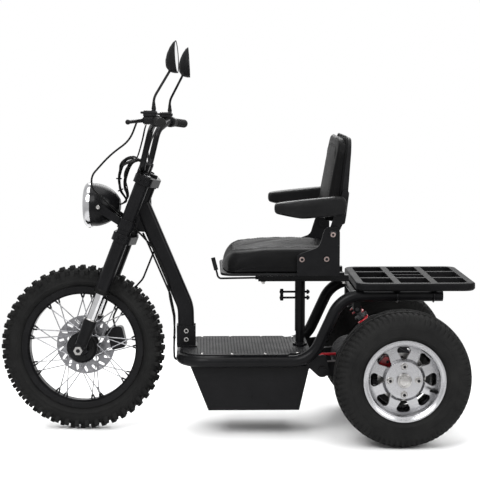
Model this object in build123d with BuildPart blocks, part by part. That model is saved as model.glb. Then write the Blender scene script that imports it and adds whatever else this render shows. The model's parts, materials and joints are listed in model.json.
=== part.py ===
from build123d import *
from math import cos, radians, sin
import os

os.makedirs("parts", exist_ok=True)

# Stance, in millimetres: +X forward, +Y the rider's left, +Z up, ground at zero
wheelbase = 1150
rear_overhang = 272
track = 640
front_tyre_radius = 305
rear_tyre_radius = 244
steer_rest = -5.5
front_reach = front_tyre_radius * cos(radians(steer_rest))
front_axle_x = (wheelbase + rear_overhang - front_reach) / 2
rear_axle_x = front_axle_x - wheelbase
gap = 0.3

# Steering geometry: the fork frame has its origin on the axle and runs up the legs
rake = 21
fork_trail_offset = 18
leg_y = 90
fork_up = Vector(-sin(radians(rake)), 0, cos(radians(rake)))
fork_forward = Vector(cos(radians(rake)), 0, sin(radians(rake)))
axle_point = Vector(front_axle_x, 0, front_tyre_radius)
steer_point = axle_point - fork_forward * fork_trail_offset
steer_axis = Axis(steer_point, fork_up)
fork_plane = Plane(origin=axle_point, x_dir=fork_forward, z_dir=fork_up)
head_low = 462
head_high = 645
head_radius = 23
stem_radius = 15
clamp_thick = 30
leg_radius = 26
slider_radius = 18.5
leg_low = 232
leg_high = 679
foot_high = 118
axle_radius = 10
axle_half = 112

# Frame
tube_radius = 21
tube_wall = 2.5
deck_z = 283
rail_z = 521.7
loop_y = 205
loop_front_x = 191
riser_low_x = -275
riser_high_x = -385
rail_end_x = -742
deck_top = 308.3
down_tube_deep = 60
down_tube_wide = 50
down_top = (338, 836)
down_bend = (178, 455)
down_foot = (175, 314.6)
plate_rear_x = -278
pivot_x = -316
pivot_z = 249
pivot_y = 194
shock_y = 160
shock_top = (-443, 468)
shock_low = (-556, 282)
arm_y = 148

# Rack
rack_length = 430
rack_half = 258
rack_top = 571
rack_thick = 28
rack_rear_x = rear_axle_x - rear_overhang
rack_mid_x = rack_rear_x + rack_length / 2

# Seat
post_x = -247
post_radius = 16
sleeve_radius = 19
sleeve_low = 362
sleeve_high = 560
pan_z = 597
seat_front_x = 46
seat_rear_x = -366
seat_half = 222
cushion_top = 700
hinge_x = -349
hinge_z = 745
ear_y = 222
back_lean = 8.4
back_half = 212
back_low = 34
back_high = 348
back_front = 41
armrest_y = 266
armrest_wide = 50
armrest_x = -372
armrest_z = 852
arm_bore_floor = 10

# Head lamp
lamp_z = 833
lamp_face_x = 548
lamp_radius = 83


def save(part, name, steered=False):
    placed = part.rotate(steer_axis, steer_rest) if steered else part
    placed.label = name
    export_step(placed, f"parts/{name}.step")


def rod(points, bends, radius, bore=0):
    with BuildPart() as run:
        with BuildLine() as path:
            FilletPolyline(*points, radius=bends)
        with BuildSketch(Plane(origin=path.line @ 0, z_dir=path.line % 0)):
            Circle(radius)
            if bore:
                Circle(bore, mode=Mode.SUBTRACT)
        sweep(path=path.line)
    return run.part


def both_sides(part):
    with BuildPart() as pair:
        add(part)
        mirror(about=Plane.XZ)
    return pair.part


def block(size, corner):
    with BuildPart() as solid:
        Box(*size)
        fillet(solid.edges(), corner)
    return solid.part


def fork_at(forward, y, up):
    return axle_point + fork_forward * forward + fork_up * up + Vector(0, y, 0)


# Front wheel: profiles are radius against width, turned about the axle
front_profile = Plane(origin=axle_point, x_dir=(1, 0, 0), z_dir=(0, 0, 1))
front_axis = Axis(axle_point, (0, 1, 0))
rim_inner = 198
rim_bead = 219
rim_flange = 226
rim_half = 28
tyre_half = 38
tyre_crown = 291
lug_count = 48
# Each row: turn in pitches, place across, lean, width, length, root radius, height
lug_rows = [(0, 11.5, 6, 17, 20, 285, 20), (0.46, 29, 35, 20, 19, 274, 23.5)]
hub_flange_radius = 56
hub_flange_y = 30
spoke_radius = 1.9
spoke_count = 9
spoke_sweep = 52
disc_y = -56
disc_radius = 110
disc_thick = 4

with BuildPart() as lugs:
    for turn, across, lean, wide, long, root, high in lug_rows:
        for side in (1, -1):
            tilt = radians(lean) * side
            angle = 360 / lug_count * turn
            foot = Vector(root, 0, across * side).rotate(Axis.Z, angle)
            outward = Vector(cos(tilt), 0, sin(tilt)).rotate(Axis.Z, angle)
            lateral = Vector(-sin(tilt), 0, cos(tilt)).rotate(Axis.Z, angle)
            with BuildSketch(Plane(origin=foot, x_dir=lateral, z_dir=outward)):
                Rectangle(wide, long)
            extrude(amount=high, taper=7)

with BuildPart() as front_tyre:
    with BuildSketch(front_profile):
        outside = [
            (rim_bead + gap, 17), (rim_bead + gap, rim_half - 4 - gap), (rim_flange + 2, rim_half - 4 - gap),
            (rim_flange + 14, tyre_half - 2), (262, tyre_half + 1), (280, tyre_half - 2), (tyre_crown, 20),
        ]
        inside = [(276, 28), (240, 28)]
        Polygon(
            *outside, *[(r, -y) for r, y in reversed(outside)], *[(r, -y) for r, y in reversed(inside)],
            (tyre_crown - 8, 0), *inside, align=None,
        )
    revolve(axis=front_axis)
    with Locations(Plane(origin=axle_point, x_dir=(1, 0, 0), z_dir=(0, 1, 0))):
        with PolarLocations(0, lug_count):
            add(lugs.part)
save(front_tyre.part, "front_tyre", True)

with BuildPart() as front_rim:
    with BuildSketch(front_profile):
        with BuildLine():
            half = [
                (rim_inner, 18), (206, rim_half), (rim_flange, rim_half), (rim_flange, rim_half - 4),
                (rim_bead, rim_half - 4), (rim_bead, 17), (206, 11),
            ]
            Polyline(*half, *[(r, -y) for r, y in reversed(half)], close=True)
        make_face()
    revolve(axis=front_axis)
save(front_rim.part, "front_rim", True)

with BuildPart() as front_hub:
    with BuildSketch(front_profile):
        Polygon(
            (axle_radius + 0.06, -62), (24, -62), (24, disc_y + 2 + gap), (44, disc_y + 2 + gap), (44, -44), (34, -40),
            (34, -35), (hub_flange_radius, -34), (hub_flange_radius, -25), (28, -22), (28, 22),
            (hub_flange_radius, 25), (hub_flange_radius, 35), (48, 44), (30, 47), (24, 62), (axle_radius + 0.06, 62),
            align=None,
        )
    revolve(axis=front_axis)
save(front_hub.part, "front_hub", True)

with BuildPart() as spokes:
    for side in (1, -1):
        for lean, inset in ((1, 3), (-1, -3)):
            for k in range(spoke_count):
                turn = radians(360 / spoke_count * (k + (0.25 if side < 0 else 0) + (0.5 if lean < 0 else 0)))
                reach = turn + radians(spoke_sweep) * lean
                near = hub_flange_radius - 3
                far = rim_inner + 3
                start = axle_point + Vector(near * cos(turn), side * (hub_flange_y + inset * 0.5), near * sin(turn))
                end = axle_point + Vector(far * cos(reach), side * (7 + inset), far * sin(reach))
                line = end - start
                with Locations(Plane(origin=start, z_dir=line)):
                    Cylinder(spoke_radius, line.length, align=(Align.CENTER, Align.CENTER, Align.MIN))
    with Locations(Plane(origin=axle_point, z_dir=(0, 1, 0))):
        Cylinder(hub_flange_radius + gap, 100, mode=Mode.SUBTRACT)
    with BuildSketch(front_profile):
        with Locations((rim_inner + 20, 0)):
            Rectangle(40 + gap * 2, 100)
    revolve(axis=front_axis, mode=Mode.SUBTRACT)
save(spokes.part, "front_spokes", True)

with BuildPart() as front_disc:
    with BuildSketch(Plane(origin=axle_point + Vector(0, disc_y + disc_thick / 2, 0), z_dir=(0, 1, 0))):
        Circle(disc_radius)
        Circle(24 + gap, mode=Mode.SUBTRACT)
        with PolarLocations(57, 5):
            SlotOverall(34, 20, mode=Mode.SUBTRACT)
        with PolarLocations(92, 18):
            SlotOverall(24, 9, rotation=25, mode=Mode.SUBTRACT)
    extrude(amount=-disc_thick)
save(front_disc.part, "front_disc", True)

# Fork
with BuildPart() as fork_tubes:
    with BuildSketch(fork_plane.offset(leg_low)):
        with Locations((0, leg_y), (0, -leg_y)):
            Circle(leg_radius)
            Circle(slider_radius + gap, mode=Mode.SUBTRACT)
    extrude(amount=leg_high - leg_low)
    with BuildSketch(fork_plane.offset(leg_high)):
        with Locations((0, leg_y), (0, -leg_y)):
            Circle(leg_radius - 3)
    extrude(amount=3)
save(fork_tubes.part, "fork_tubes", True)

with BuildPart() as fork_sliders:
    with BuildSketch(fork_plane.offset(foot_high - 40)):
        with Locations((0, leg_y), (0, -leg_y)):
            Circle(slider_radius)
    extrude(amount=360)
save(fork_sliders.part, "fork_sliders", True)

with BuildPart() as fork_feet:
    for y in (leg_y, -leg_y):
        with BuildSketch(fork_plane.offset(0)):
            with Locations((0, y)):
                Circle(21)
        with BuildSketch(fork_plane.offset(foot_high)):
            with Locations((0, y)):
                Circle(24)
        loft()
        with Locations(Plane(origin=fork_at(0, y, 0), z_dir=(0, 1, 0))):
            Cylinder(25, 42)
        with Locations(Location(fork_plane) * Location((0, y, foot_high - 40 - gap))):
            Cylinder(slider_radius + gap, 60, align=(Align.CENTER, Align.CENTER, Align.MIN), mode=Mode.SUBTRACT)
        with Locations(Plane(origin=fork_at(0, y, 0), z_dir=(0, 1, 0))):
            Cylinder(axle_radius + gap, 80, mode=Mode.SUBTRACT)
save(fork_feet.part, "fork_feet", True)

with BuildPart() as front_axle:
    with Locations(Plane(origin=axle_point, z_dir=(0, 1, 0))):
        Cylinder(axle_radius, axle_half * 2)
    for side in (1, -1):
        face = axle_point + Vector(0, side * (leg_y + 21 + gap), 0)
        with BuildSketch(Plane(origin=face, x_dir=(1, 0, 0), z_dir=(0, side, 0))):
            RegularPolygon(17, 6)
        extrude(amount=12)
save(front_axle.part, "front_axle", True)

with BuildPart() as clamps:
    for low, inner in ((head_low - 6 - clamp_thick, 30), (head_high + 6, 34)):
        with BuildSketch(fork_plane.offset(low)):
            with Locations((0, leg_y), (0, -leg_y)):
                Circle(leg_radius + 9)
            with Locations((-fork_trail_offset, 0)):
                Circle(inner)
            make_hull()
            with Locations((0, leg_y), (0, -leg_y)):
                Circle(leg_radius + gap, mode=Mode.SUBTRACT)
        extrude(amount=clamp_thick)
    with BuildSketch(fork_plane.offset(head_low - 10)):
        with Locations((-fork_trail_offset, 0)):
            Circle(stem_radius)
    extrude(amount=head_high - head_low + 20)
    with BuildSketch(fork_plane.offset(head_high + 6 + clamp_thick)):
        with Locations((-fork_trail_offset, 0)):
            RegularPolygon(17, 6)
    extrude(amount=12)
# Handlebar, its clamps, the grips and the hand controls
bar_radius = 11.1
grip_radius = 16
bar_low = (325, 966)
bar_side = [(325, 112, 966), (291, 114, 1108), (262, 215, 1141), (221, 380, 1134)]
bar_points = [(x, -y, z) for x, y, z in reversed(bar_side)] + bar_side
bar_bends = [80, 40, 40, 40, 40, 80]
save(rod(bar_points, bar_bends, bar_radius), "handlebar", True)

bar_axis = Vector(bar_low[0], 0, bar_low[1]) - axle_point
bar_forward = bar_axis.dot(fork_forward)
bar_up = bar_axis.dot(fork_up)
with BuildPart() as fork_clamps:
    add(clamps.part)
    clamp_floor = head_high + 6 + clamp_thick
    for y in (46, -46):
        with BuildSketch(fork_plane.offset(clamp_floor)):
            with Locations((bar_forward, y)):
                RectangleRounded(38, 30, 5)
        extrude(amount=bar_up + 19 - clamp_floor)
        with Locations(Plane(origin=(bar_low[0], y, bar_low[1]), z_dir=(0, 1, 0))):
            Cylinder(bar_radius + gap, 60, mode=Mode.SUBTRACT)
save(fork_clamps.part, "fork_clamps", True)

bar_end = Vector(*bar_side[3])
bar_run = (Vector(*bar_side[2]) - bar_end).normalized()
with BuildPart() as grip:
    with BuildSketch(Plane(origin=bar_end - bar_run * 4, z_dir=bar_run)):
        Circle(grip_radius)
    extrude(amount=120)
    chamfer(grip.edges().sort_by(Axis.Y)[-1], 2)
    with BuildSketch(Plane(origin=bar_end - bar_run * gap, z_dir=bar_run)):
        Circle(bar_radius + gap)
    extrude(amount=130, mode=Mode.SUBTRACT)
save(both_sides(grip.part), "grips", True)

perch = bar_end + bar_run * 138
lever_block = perch - bar_run * 3 + Vector(27, 0, 3)
lever_block_size = Vector(42, 32, 26)
switch_block = perch + bar_run * 0.5 + Vector(22, 0, 26)
switch_block_size = Vector(46, 40, 22)
with BuildPart() as control:
    with BuildSketch(Plane(origin=perch, z_dir=-bar_run)):
        Circle(18)
    extrude(amount=20)
    with BuildSketch(Plane(origin=perch + bar_run * 4, z_dir=bar_run)):
        Circle(19.5)
    extrude(amount=14)
    with Locations(lever_block):
        add(block(lever_block_size, 7))
    with Locations(switch_block):
        add(block(switch_block_size, 5))
    with Locations(switch_block + Vector(4, 0, switch_block_size.Z / 2 - 7)):
        add(block(Vector(56, 42, 8), 3))
    with Locations(Plane(origin=lever_block + bar_run * 6 + Vector(3, 0, -2), z_dir=bar_run)):
        Cylinder(12.5, 38)
    add(rod([perch + Vector(40, 8, 2), perch + Vector(62, 34, 0), perch + Vector(86, 108, -4)], [30], 6.5))
    with Locations(perch + Vector(86, 108, -4)):
        Sphere(9)
    with BuildSketch(Plane(origin=perch + bar_run * 30, z_dir=-bar_run)):
        Circle(bar_radius + gap)
    extrude(amount=70, mode=Mode.SUBTRACT)
save(both_sides(control.part), "hand_controls", True)

# Mirrors
mirror_mid = Vector(184, 222, 1366)
mirror_face = Plane(origin=mirror_mid, x_dir=(0, 0, 1), z_dir=(-0.995, 0.06, 0.06))
mirror_long = 116
mirror_wide = 82
stalk_foot = switch_block + Vector(-14, 8, switch_block_size.Z / 2 + gap)
mirror_rim = 4
mirror_shell = [(0, 0, 1), (-10, -3, 0.94), (-22, -9, 0.78), (-33, -15, 0.54), (-40, -20, 0.26)]
with BuildPart() as mirror_head:
    for depth, drop, share in mirror_shell:
        with BuildSketch(mirror_face.offset(depth)):
            with Locations((drop, 0)):
                Ellipse(mirror_long / 2 * share, mirror_wide / 2 * share)
    loft(ruled=True)
    with BuildSketch(mirror_face):
        Ellipse(mirror_long / 2 - mirror_rim, mirror_wide / 2 - mirror_rim)
    extrude(amount=-4, mode=Mode.SUBTRACT)
save(both_sides(mirror_head.part), "mirror_heads", True)

with BuildPart() as mirror_pane:
    with BuildSketch(mirror_face.offset(-4 + gap)):
        Ellipse(mirror_long / 2 - mirror_rim - gap, mirror_wide / 2 - mirror_rim - gap)
    extrude(amount=2.5)
save(both_sides(mirror_pane.part), "mirror_glass", True)

stalk_top = mirror_face.offset(-26).origin - mirror_face.x_dir * (mirror_long / 2 - 13)
stalk = rod([stalk_foot, stalk_foot + Vector(0, 0, 44), stalk_top], [60], 4.5)
with BuildPart() as mirror_stalk:
    add(stalk)
    add(mirror_head.part, mode=Mode.SUBTRACT)
save(both_sides(mirror_stalk.part), "mirror_arms", True)

# Head lamp
lamp_axis = Axis((0, 0, lamp_z), (1, 0, 0))
lamp_profile = Plane(origin=(0, 0, lamp_z), x_dir=(1, 0, 0), z_dir=(0, -1, 0))
lamp_lip_x = lamp_face_x - 26
with BuildPart() as lamp_bucket:
    with BuildSketch(lamp_profile):
        with BuildLine():
            Polyline((lamp_lip_x, lamp_radius - 7), (lamp_lip_x, lamp_radius - 4), (lamp_lip_x - 18, lamp_radius - 4))
            ThreePointArc((lamp_lip_x - 18, lamp_radius - 4), (lamp_lip_x - 72, 58), (lamp_lip_x - 104, 22))
            Polyline((lamp_lip_x - 104, 22), (lamp_lip_x - 104, 0), (lamp_lip_x - 100, 0), (lamp_lip_x - 100, 21))
            ThreePointArc((lamp_lip_x - 100, 21), (lamp_lip_x - 70, 55), (lamp_lip_x - 18, lamp_radius - 7))
            Line((lamp_lip_x - 18, lamp_radius - 7), (lamp_lip_x, lamp_radius - 7))
        make_face()
    revolve(axis=lamp_axis)
save(lamp_bucket.part, "lamp_bucket", True)

with BuildPart() as lamp_ring:
    with BuildSketch(lamp_profile):
        with BuildLine():
            Polyline((lamp_lip_x + gap, lamp_radius - 12), (lamp_lip_x + gap, lamp_radius), (lamp_lip_x + 8, lamp_radius))
            ThreePointArc((lamp_lip_x + 8, lamp_radius), (lamp_lip_x + 20, lamp_radius - 4), (lamp_face_x, lamp_radius - 12))
            Line((lamp_face_x, lamp_radius - 12), (lamp_lip_x + gap, lamp_radius - 12))
        make_face()
    revolve(axis=lamp_axis)
save(lamp_ring.part, "lamp_ring", True)

with BuildPart() as lamp_reflector:
    with BuildSketch(lamp_profile):
        with BuildLine():
            Polyline((lamp_lip_x - 2, 66), (lamp_lip_x - 2, lamp_radius - 7 - gap), (lamp_lip_x - 5, lamp_radius - 7 - gap))
            Line((lamp_lip_x - 5, lamp_radius - 7 - gap), (lamp_lip_x - 5, 68))
            ThreePointArc((lamp_lip_x - 5, 68), (lamp_lip_x - 44, 44), (lamp_lip_x - 58, 12))
            Line((lamp_lip_x - 58, 12), (lamp_lip_x - 56, 12))
            ThreePointArc((lamp_lip_x - 56, 12), (lamp_lip_x - 42, 42), (lamp_lip_x - 2, 66))
        make_face()
    revolve(axis=lamp_axis)
save(lamp_reflector.part, "lamp_reflector", True)

lens_radius = lamp_radius - 12 - gap
lens_back_x = lamp_face_x - 14
lens_edge_x = lamp_face_x - 6
lens_bulge = 16
lens_curve = (lens_radius**2 + lens_bulge**2) / (2 * lens_bulge)
lens_centre_x = lens_edge_x + lens_bulge - lens_curve
with BuildPart() as lamp_lens:
    with Locations(Plane(origin=(lens_centre_x, 0, lamp_z), z_dir=(1, 0, 0))):
        Sphere(lens_curve)
    with BuildSketch(Plane(origin=(lens_back_x, 0, lamp_z), z_dir=(1, 0, 0))):
        Circle(lens_radius)
    extrude(amount=lens_edge_x - lens_back_x + lens_bulge + 1, mode=Mode.INTERSECT)
save(lamp_lens.part, "lamp_lens", True)

lamp_bolt_x = 487
lamp_bolt_z = lamp_z - 5
lamp_ear_up = (Vector(lamp_bolt_x, 0, lamp_bolt_z) - axle_point).dot(fork_up) - 40
with BuildPart() as lamp_ear:
    with BuildSketch(fork_plane.offset(lamp_ear_up)):
        with Locations((0, leg_y)):
            Circle(leg_radius + 5)
            Circle(leg_radius + gap, mode=Mode.SUBTRACT)
    extrude(amount=36)
    ear_root = fork_at(leg_radius + 2, leg_y, lamp_ear_up + 18)
    with BuildSketch(Plane(origin=(0, leg_y - 5, 0), x_dir=(1, 0, 0), z_dir=(0, -1, 0))):
        with Locations((ear_root.X, ear_root.Z)):
            Circle(13)
        with Locations((lamp_bolt_x, lamp_bolt_z)):
            Circle(16)
        make_hull()
    extrude(amount=5)
    with Locations(Plane(origin=(lamp_bolt_x, leg_y - 3, lamp_bolt_z), z_dir=(0, 1, 0))):
        Cylinder(9, 8)
    with Locations(Plane(origin=(lamp_bolt_x, leg_y - 10, lamp_bolt_z), z_dir=(0, 1, 0))):
        Cylinder(6, 11)
    add(lamp_bucket.part, mode=Mode.SUBTRACT)
    with BuildSketch(fork_plane.offset(lamp_ear_up - 5)):
        with Locations((0, leg_y)):
            Circle(leg_radius + gap)
    extrude(amount=60, mode=Mode.SUBTRACT)
save(both_sides(lamp_ear.part), "lamp_brackets", True)

# Front caliper on the right foot
caliper_reach = Vector(-119, 0, 28)
caliper_up = Vector(-caliper_reach.Z, 0, caliper_reach.X).normalized() * -1
caliper_long = 82
caliper_point = axle_point + Vector(0, disc_y, 0) + caliper_reach
with BuildPart() as front_caliper:
    with BuildSketch(Plane(origin=caliper_point + Vector(0, -22, 0), x_dir=caliper_reach, z_dir=(0, 1, 0))):
        RectangleRounded(58, caliper_long, 14)
    extrude(amount=42)
    with Locations(Plane(origin=axle_point + Vector(0, disc_y, 0), z_dir=(0, 1, 0))):
        Cylinder(disc_radius + 6, 10, mode=Mode.SUBTRACT)
    with BuildSketch(Plane(origin=(0, disc_y - 7.3, 0), x_dir=(1, 0, 0), z_dir=(0, -1, 0))):
        with Locations((axle_point.X - 20, axle_point.Z + 58), (caliper_point.X + 18, caliper_point.Z)):
            Circle(16)
        make_hull()
    extrude(amount=5.7)
    add(fork_feet.part, mode=Mode.SUBTRACT)
save(front_caliper.part, "front_caliper", True)

# Hoses and wiring that turn with the fork
hose_radius = 3.5
hose_socket = lever_block + Vector(lever_block_size.X / 2 + gap, -8, 0)
hose_lead = hose_socket + Vector(20, 0, 0)
hose_end = caliper_point + caliper_up * (caliper_long / 2 + gap) + Vector(0, -6, 0)
front_hose_points = [
    (hose_socket.X, -hose_socket.Y, hose_socket.Z), (hose_lead.X, -hose_lead.Y, hose_lead.Z), (345, -196, 1075),
    (326, -142, 950), (322, -138, 770), (302, -118, 668), (350, -112, 548), (440, -96, 450),
    hose_end + caliper_up * 35, hose_end,
]
save(rod(front_hose_points, [22, 40, 60, 60, 60, 60, 25, 30], hose_radius), "front_brake_hose", True)

rear_hose_points = [
    hose_socket, hose_lead, (356, 190, 1072), (436, 140, 1018), (505, 120, 945), (507, 118, 900), (444, 98, 838),
    (400, 48, 790), (352, 44, 742),
]
save(rod(rear_hose_points, [22, 170, 240, 52, 44, 40, 40], hose_radius), "rear_brake_hose", True)

loom_points = [
    (331, 0, 987.6), (376, 0, 1005), (421, 0, lamp_z + 134), (421, 0, lamp_z + 57), (390, 0, lamp_z + 13),
    (413.5, 0, lamp_z + 1),
]
save(rod(loom_points, [20, 30, 30, 12], 7), "wiring_loom", True)

# Cables down the frame and the short crossing behind the lower clamp
crossing_points = [(355, 45, 741), (340, 42, 727), (319, 33, 703)]
save(rod(crossing_points, [12], hose_radius), "cable_crossing")
left_cable = [
    (317.5, 32, 701), (294, 29.2, 673), (245, 29.2, 567), (236, 24, 490), (222, 14, 420), (219, 12, 366), (222, 12, 300),
    (221, 12, 262), (200, 12, 250), (157, 12, 247),
]
under_cable = [
    (335, 8, 730.5), (316, 6, 690), (233.6, 2, 497), (219, 0, 420), (222, 0, 300), (221, 0, 262), (200, 0, 250), (157, 0, 247),
]
with BuildPart() as frame_cables:
    add(rod(left_cable, [20, 60, 60, 60, 60, 60, 12, 12], hose_radius))
    add(rod(under_cable, [20, 60, 60, 60, 12, 12], hose_radius))
save(frame_cables.part, "frame_cables")

# Front frame: head tube, gusset and down tube in one weldment
with BuildPart() as front_frame:
    with BuildLine() as down_path:
        FilletPolyline(
            (down_top[0], 0, down_top[1]), (down_bend[0], 0, down_bend[1]), (down_foot[0], 0, down_foot[1]), radius=120
        )
    with BuildSketch(Plane(origin=down_path.line @ 0, x_dir=(0, 1, 0), z_dir=down_path.line % 0)):
        RectangleRounded(down_tube_wide, down_tube_deep, 14)
    sweep(path=down_path.line)
    with BuildSketch(fork_plane.offset(head_low)):
        with Locations((-fork_trail_offset, 0)):
            Circle(head_radius)
    extrude(amount=head_high - head_low)
    with BuildSketch(Plane(origin=(0, 20, 0), x_dir=(1, 0, 0), z_dir=(0, -1, 0))):
        Polygon((372, 738), (312, 733), (296, 745), (318, 812), (352, 812), align=None)
    extrude(amount=40)
    with BuildSketch(fork_plane.offset(head_low)):
        with Locations((-fork_trail_offset, 0)):
            Circle(stem_radius + 0.06)
    extrude(amount=head_high - head_low, mode=Mode.SUBTRACT)
    for up in (head_low - 5.5, head_high):
        with BuildSketch(fork_plane.offset(up)):
            with Locations((-fork_trail_offset, 0)):
                Circle(head_radius + 4)
                Circle(stem_radius + 0.06, mode=Mode.SUBTRACT)
        extrude(amount=5.5)
save(front_frame.part, "front_frame")

with BuildPart() as neck_bracket:
    side_wall = down_tube_wide / 2 + gap
    neck_front = down_foot[0] + down_tube_deep / 2 + 6.3
    with BuildSketch(Plane.XY.offset(deck_top + gap)):
        with Locations((173, 0)):
            Rectangle(74, 92)
    extrude(amount=5)
    with BuildSketch(Plane.XY.offset(deck_top + gap)):
        with Locations((neck_front - 35, 0)):
            Rectangle(70, side_wall * 2 + 10)
            Rectangle(70, side_wall * 2, mode=Mode.SUBTRACT)
        with Locations((neck_front - 2.2, 0)):
            Rectangle(4.4, side_wall * 2 + 10)
    extrude(amount=78)
    for side in (1, -1):
        for z in (336, 368):
            with Locations(Plane(origin=(176, side * (side_wall + 5), z), z_dir=(0, side, 0))):
                Cylinder(9, 7, align=(Align.CENTER, Align.CENTER, Align.MIN))
save(neck_bracket.part, "neck_bracket")

# Deck loop: one bent tube from rail end to rail end, cross members and lugs
loop_points = [
    (rail_end_x, -loop_y, rail_z), (riser_high_x, -loop_y, rail_z), (riser_low_x, -loop_y, deck_z),
    (loop_front_x, -loop_y, deck_z), (loop_front_x, loop_y, deck_z), (riser_low_x, loop_y, deck_z),
    (riser_high_x, loop_y, rail_z), (rail_end_x, loop_y, rail_z),
]
loop_bends = [110, 110, 95, 95, 110, 110]
cross_radius = 15
shock_beam_z = rail_z - 4
with BuildPart() as deck_frame:
    add(rod(loop_points, loop_bends, tube_radius))
    for x, z in ((-250, deck_z), (-60, deck_z), (shock_top[0], shock_beam_z), (-690, rail_z)):
        with Locations(Plane(origin=(x, 0, z), z_dir=(0, 1, 0))):
            Cylinder(cross_radius, loop_y * 2 - 16)
    for side in (1, -1):
        with BuildSketch(Plane(origin=(0, side * pivot_y + 4, 0), x_dir=(1, 0, 0), z_dir=(0, -1, 0))):
            with Locations((pivot_x, pivot_z)):
                Circle(26)
            with Locations((-262, deck_z), (-318, deck_z + 8)):
                Circle(14)
            make_hull()
            with Locations((pivot_x, pivot_z)):
                Circle(8 + gap, mode=Mode.SUBTRACT)
        extrude(amount=8)
        for y in (shock_y - 18, shock_y + 13):
            with BuildSketch(Plane(origin=(0, side * (y + 2.5) - 2.5, 0), x_dir=(1, 0, 0), z_dir=(0, -1, 0))):
                with Locations((shock_top[0], shock_top[1]), (shock_top[0], shock_beam_z)):
                    Circle(14)
                make_hull()
                with Locations((shock_top[0], shock_top[1])):
                    Circle(6 + gap, mode=Mode.SUBTRACT)
            extrude(amount=-5)
    add(rod(loop_points, loop_bends, tube_radius - tube_wall), mode=Mode.SUBTRACT)
save(deck_frame.part, "deck_frame")

with BuildPart() as rail_plugs:
    for y in (loop_y, -loop_y):
        with BuildSketch(Plane(origin=(rail_end_x - gap, y, rail_z), z_dir=(-1, 0, 0))):
            Circle(tube_radius)
        extrude(amount=5)
save(rail_plugs.part, "rail_plugs")

with BuildPart() as deck_plate:
    with BuildSketch(Plane.XY.offset(deck_top - 4)):
        with BuildLine():
            FilletPolyline(
                (plate_rear_x, -180), (-200, -180), (-192, -loop_y), (loop_front_x - 2, -loop_y), (loop_front_x - 2, loop_y),
                (-192, loop_y), (-200, 180), (plate_rear_x, 180), (plate_rear_x, -180),
                radius=[8, 4, 4, 90, 90, 4, 4, 8], close=True,
            )
        make_face()
    extrude(amount=4)
save(deck_plate.part, "deck_plate")

# Battery box under the deck, with one plain block inside
box_top = deck_z - tube_radius - gap
box_low = 100
box_half = 182
with BuildPart() as battery_box:
    with BuildSketch(Plane(origin=(0, box_half, 0), x_dir=(1, 0, 0), z_dir=(0, -1, 0))):
        Polygon((-272, box_top), (160, box_top), (95, box_low), (-234, box_low), align=None)
    extrude(amount=box_half * 2)
    with BuildSketch(Plane(origin=(0, box_half - 3, 0), x_dir=(1, 0, 0), z_dir=(0, -1, 0))):
        Polygon((-267, box_top - 3), (154, box_top - 3), (93, box_low + 3), (-231, box_low + 3), align=None)
    extrude(amount=box_half * 2 - 6, mode=Mode.SUBTRACT)
save(battery_box.part, "battery_box")

with BuildPart() as battery:
    with Locations((-66, 0, box_low + 3 + gap)):
        Box(310, 330, 130, align=(Align.CENTER, Align.CENTER, Align.MIN))
save(battery.part, "battery")

# Seat post, sleeve and screws
with BuildPart() as seat_post:
    with BuildSketch(Plane.XY.offset(deck_top + gap)):
        with Locations((post_x, 0)):
            RectangleRounded(28, 92, 10)
            Circle(27)
    extrude(amount=8)
    with BuildSketch(Plane.XY.offset(deck_top + 6)):
        with Locations((post_x, 0)):
            Circle(post_radius)
    extrude(amount=210)
    for z in (508, 486):
        with Locations(Plane(origin=(post_x, 0, z), z_dir=(1, 0, 0))):
            Cylinder(4.3, 80, mode=Mode.SUBTRACT)
save(seat_post.part, "seat_post")

with BuildPart() as seat_sleeve:
    with BuildSketch(Plane.XY.offset(sleeve_low)):
        with Locations((post_x, 0)):
            Circle(sleeve_radius)
            Circle(post_radius + gap, mode=Mode.SUBTRACT)
    extrude(amount=sleeve_high - sleeve_low)
    with BuildSketch(Plane.XY.offset(sleeve_high)):
        with Locations((post_x, 0)):
            RectangleRounded(150, 130, 12)
    extrude(amount=6)
    for z in (508, 486):
        with Locations(Plane(origin=(post_x, 0, z), z_dir=(1, 0, 0))):
            Cylinder(4.3, 80, mode=Mode.SUBTRACT)
save(seat_sleeve.part, "seat_sleeve")

with BuildPart() as sleeve_screws:
    for z in (508, 486):
        with Locations(Plane(origin=(post_x - 36, 0, z), z_dir=(1, 0, 0))):
            Cylinder(4, 112, align=(Align.CENTER, Align.CENTER, Align.MIN))
        with Locations(Plane(origin=(post_x + 68, 0, z), z_dir=(1, 0, 0))):
            Cylinder(8, 10)
        with Locations(Plane(origin=(post_x - 29, 0, z), z_dir=(1, 0, 0))):
            Cylinder(7, 8)
save(sleeve_screws.part, "sleeve_screws")

# Seat slide, pan and cushion
slide_z = sleeve_high + 6 + gap
with BuildPart() as slide_base:
    with BuildSketch(Plane.XY.offset(slide_z)):
        with Locations((-251, 0)):
            Rectangle(328, 288)
            with GridLocations(0, 130, 1, 2):
                Rectangle(240, 96, mode=Mode.SUBTRACT)
        with Locations((-251, 0)):
            with GridLocations(0, 260, 1, 2):
                Rectangle(328, 34)
    extrude(amount=5)
    with BuildSketch(Plane.XY.offset(slide_z + 4)):
        with Locations((-251, 0)):
            with GridLocations(0, 260, 1, 2):
                Rectangle(328, 30)
    extrude(amount=pan_z - 9 - slide_z - 4)
    with BuildSketch(Plane.XY.offset(pan_z - 9)):
        with Locations((-206, 0)):
            with GridLocations(0, 260, 1, 2):
                Rectangle(388, 22)
    extrude(amount=9 - gap)
save(slide_base.part, "slide_base")

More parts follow.
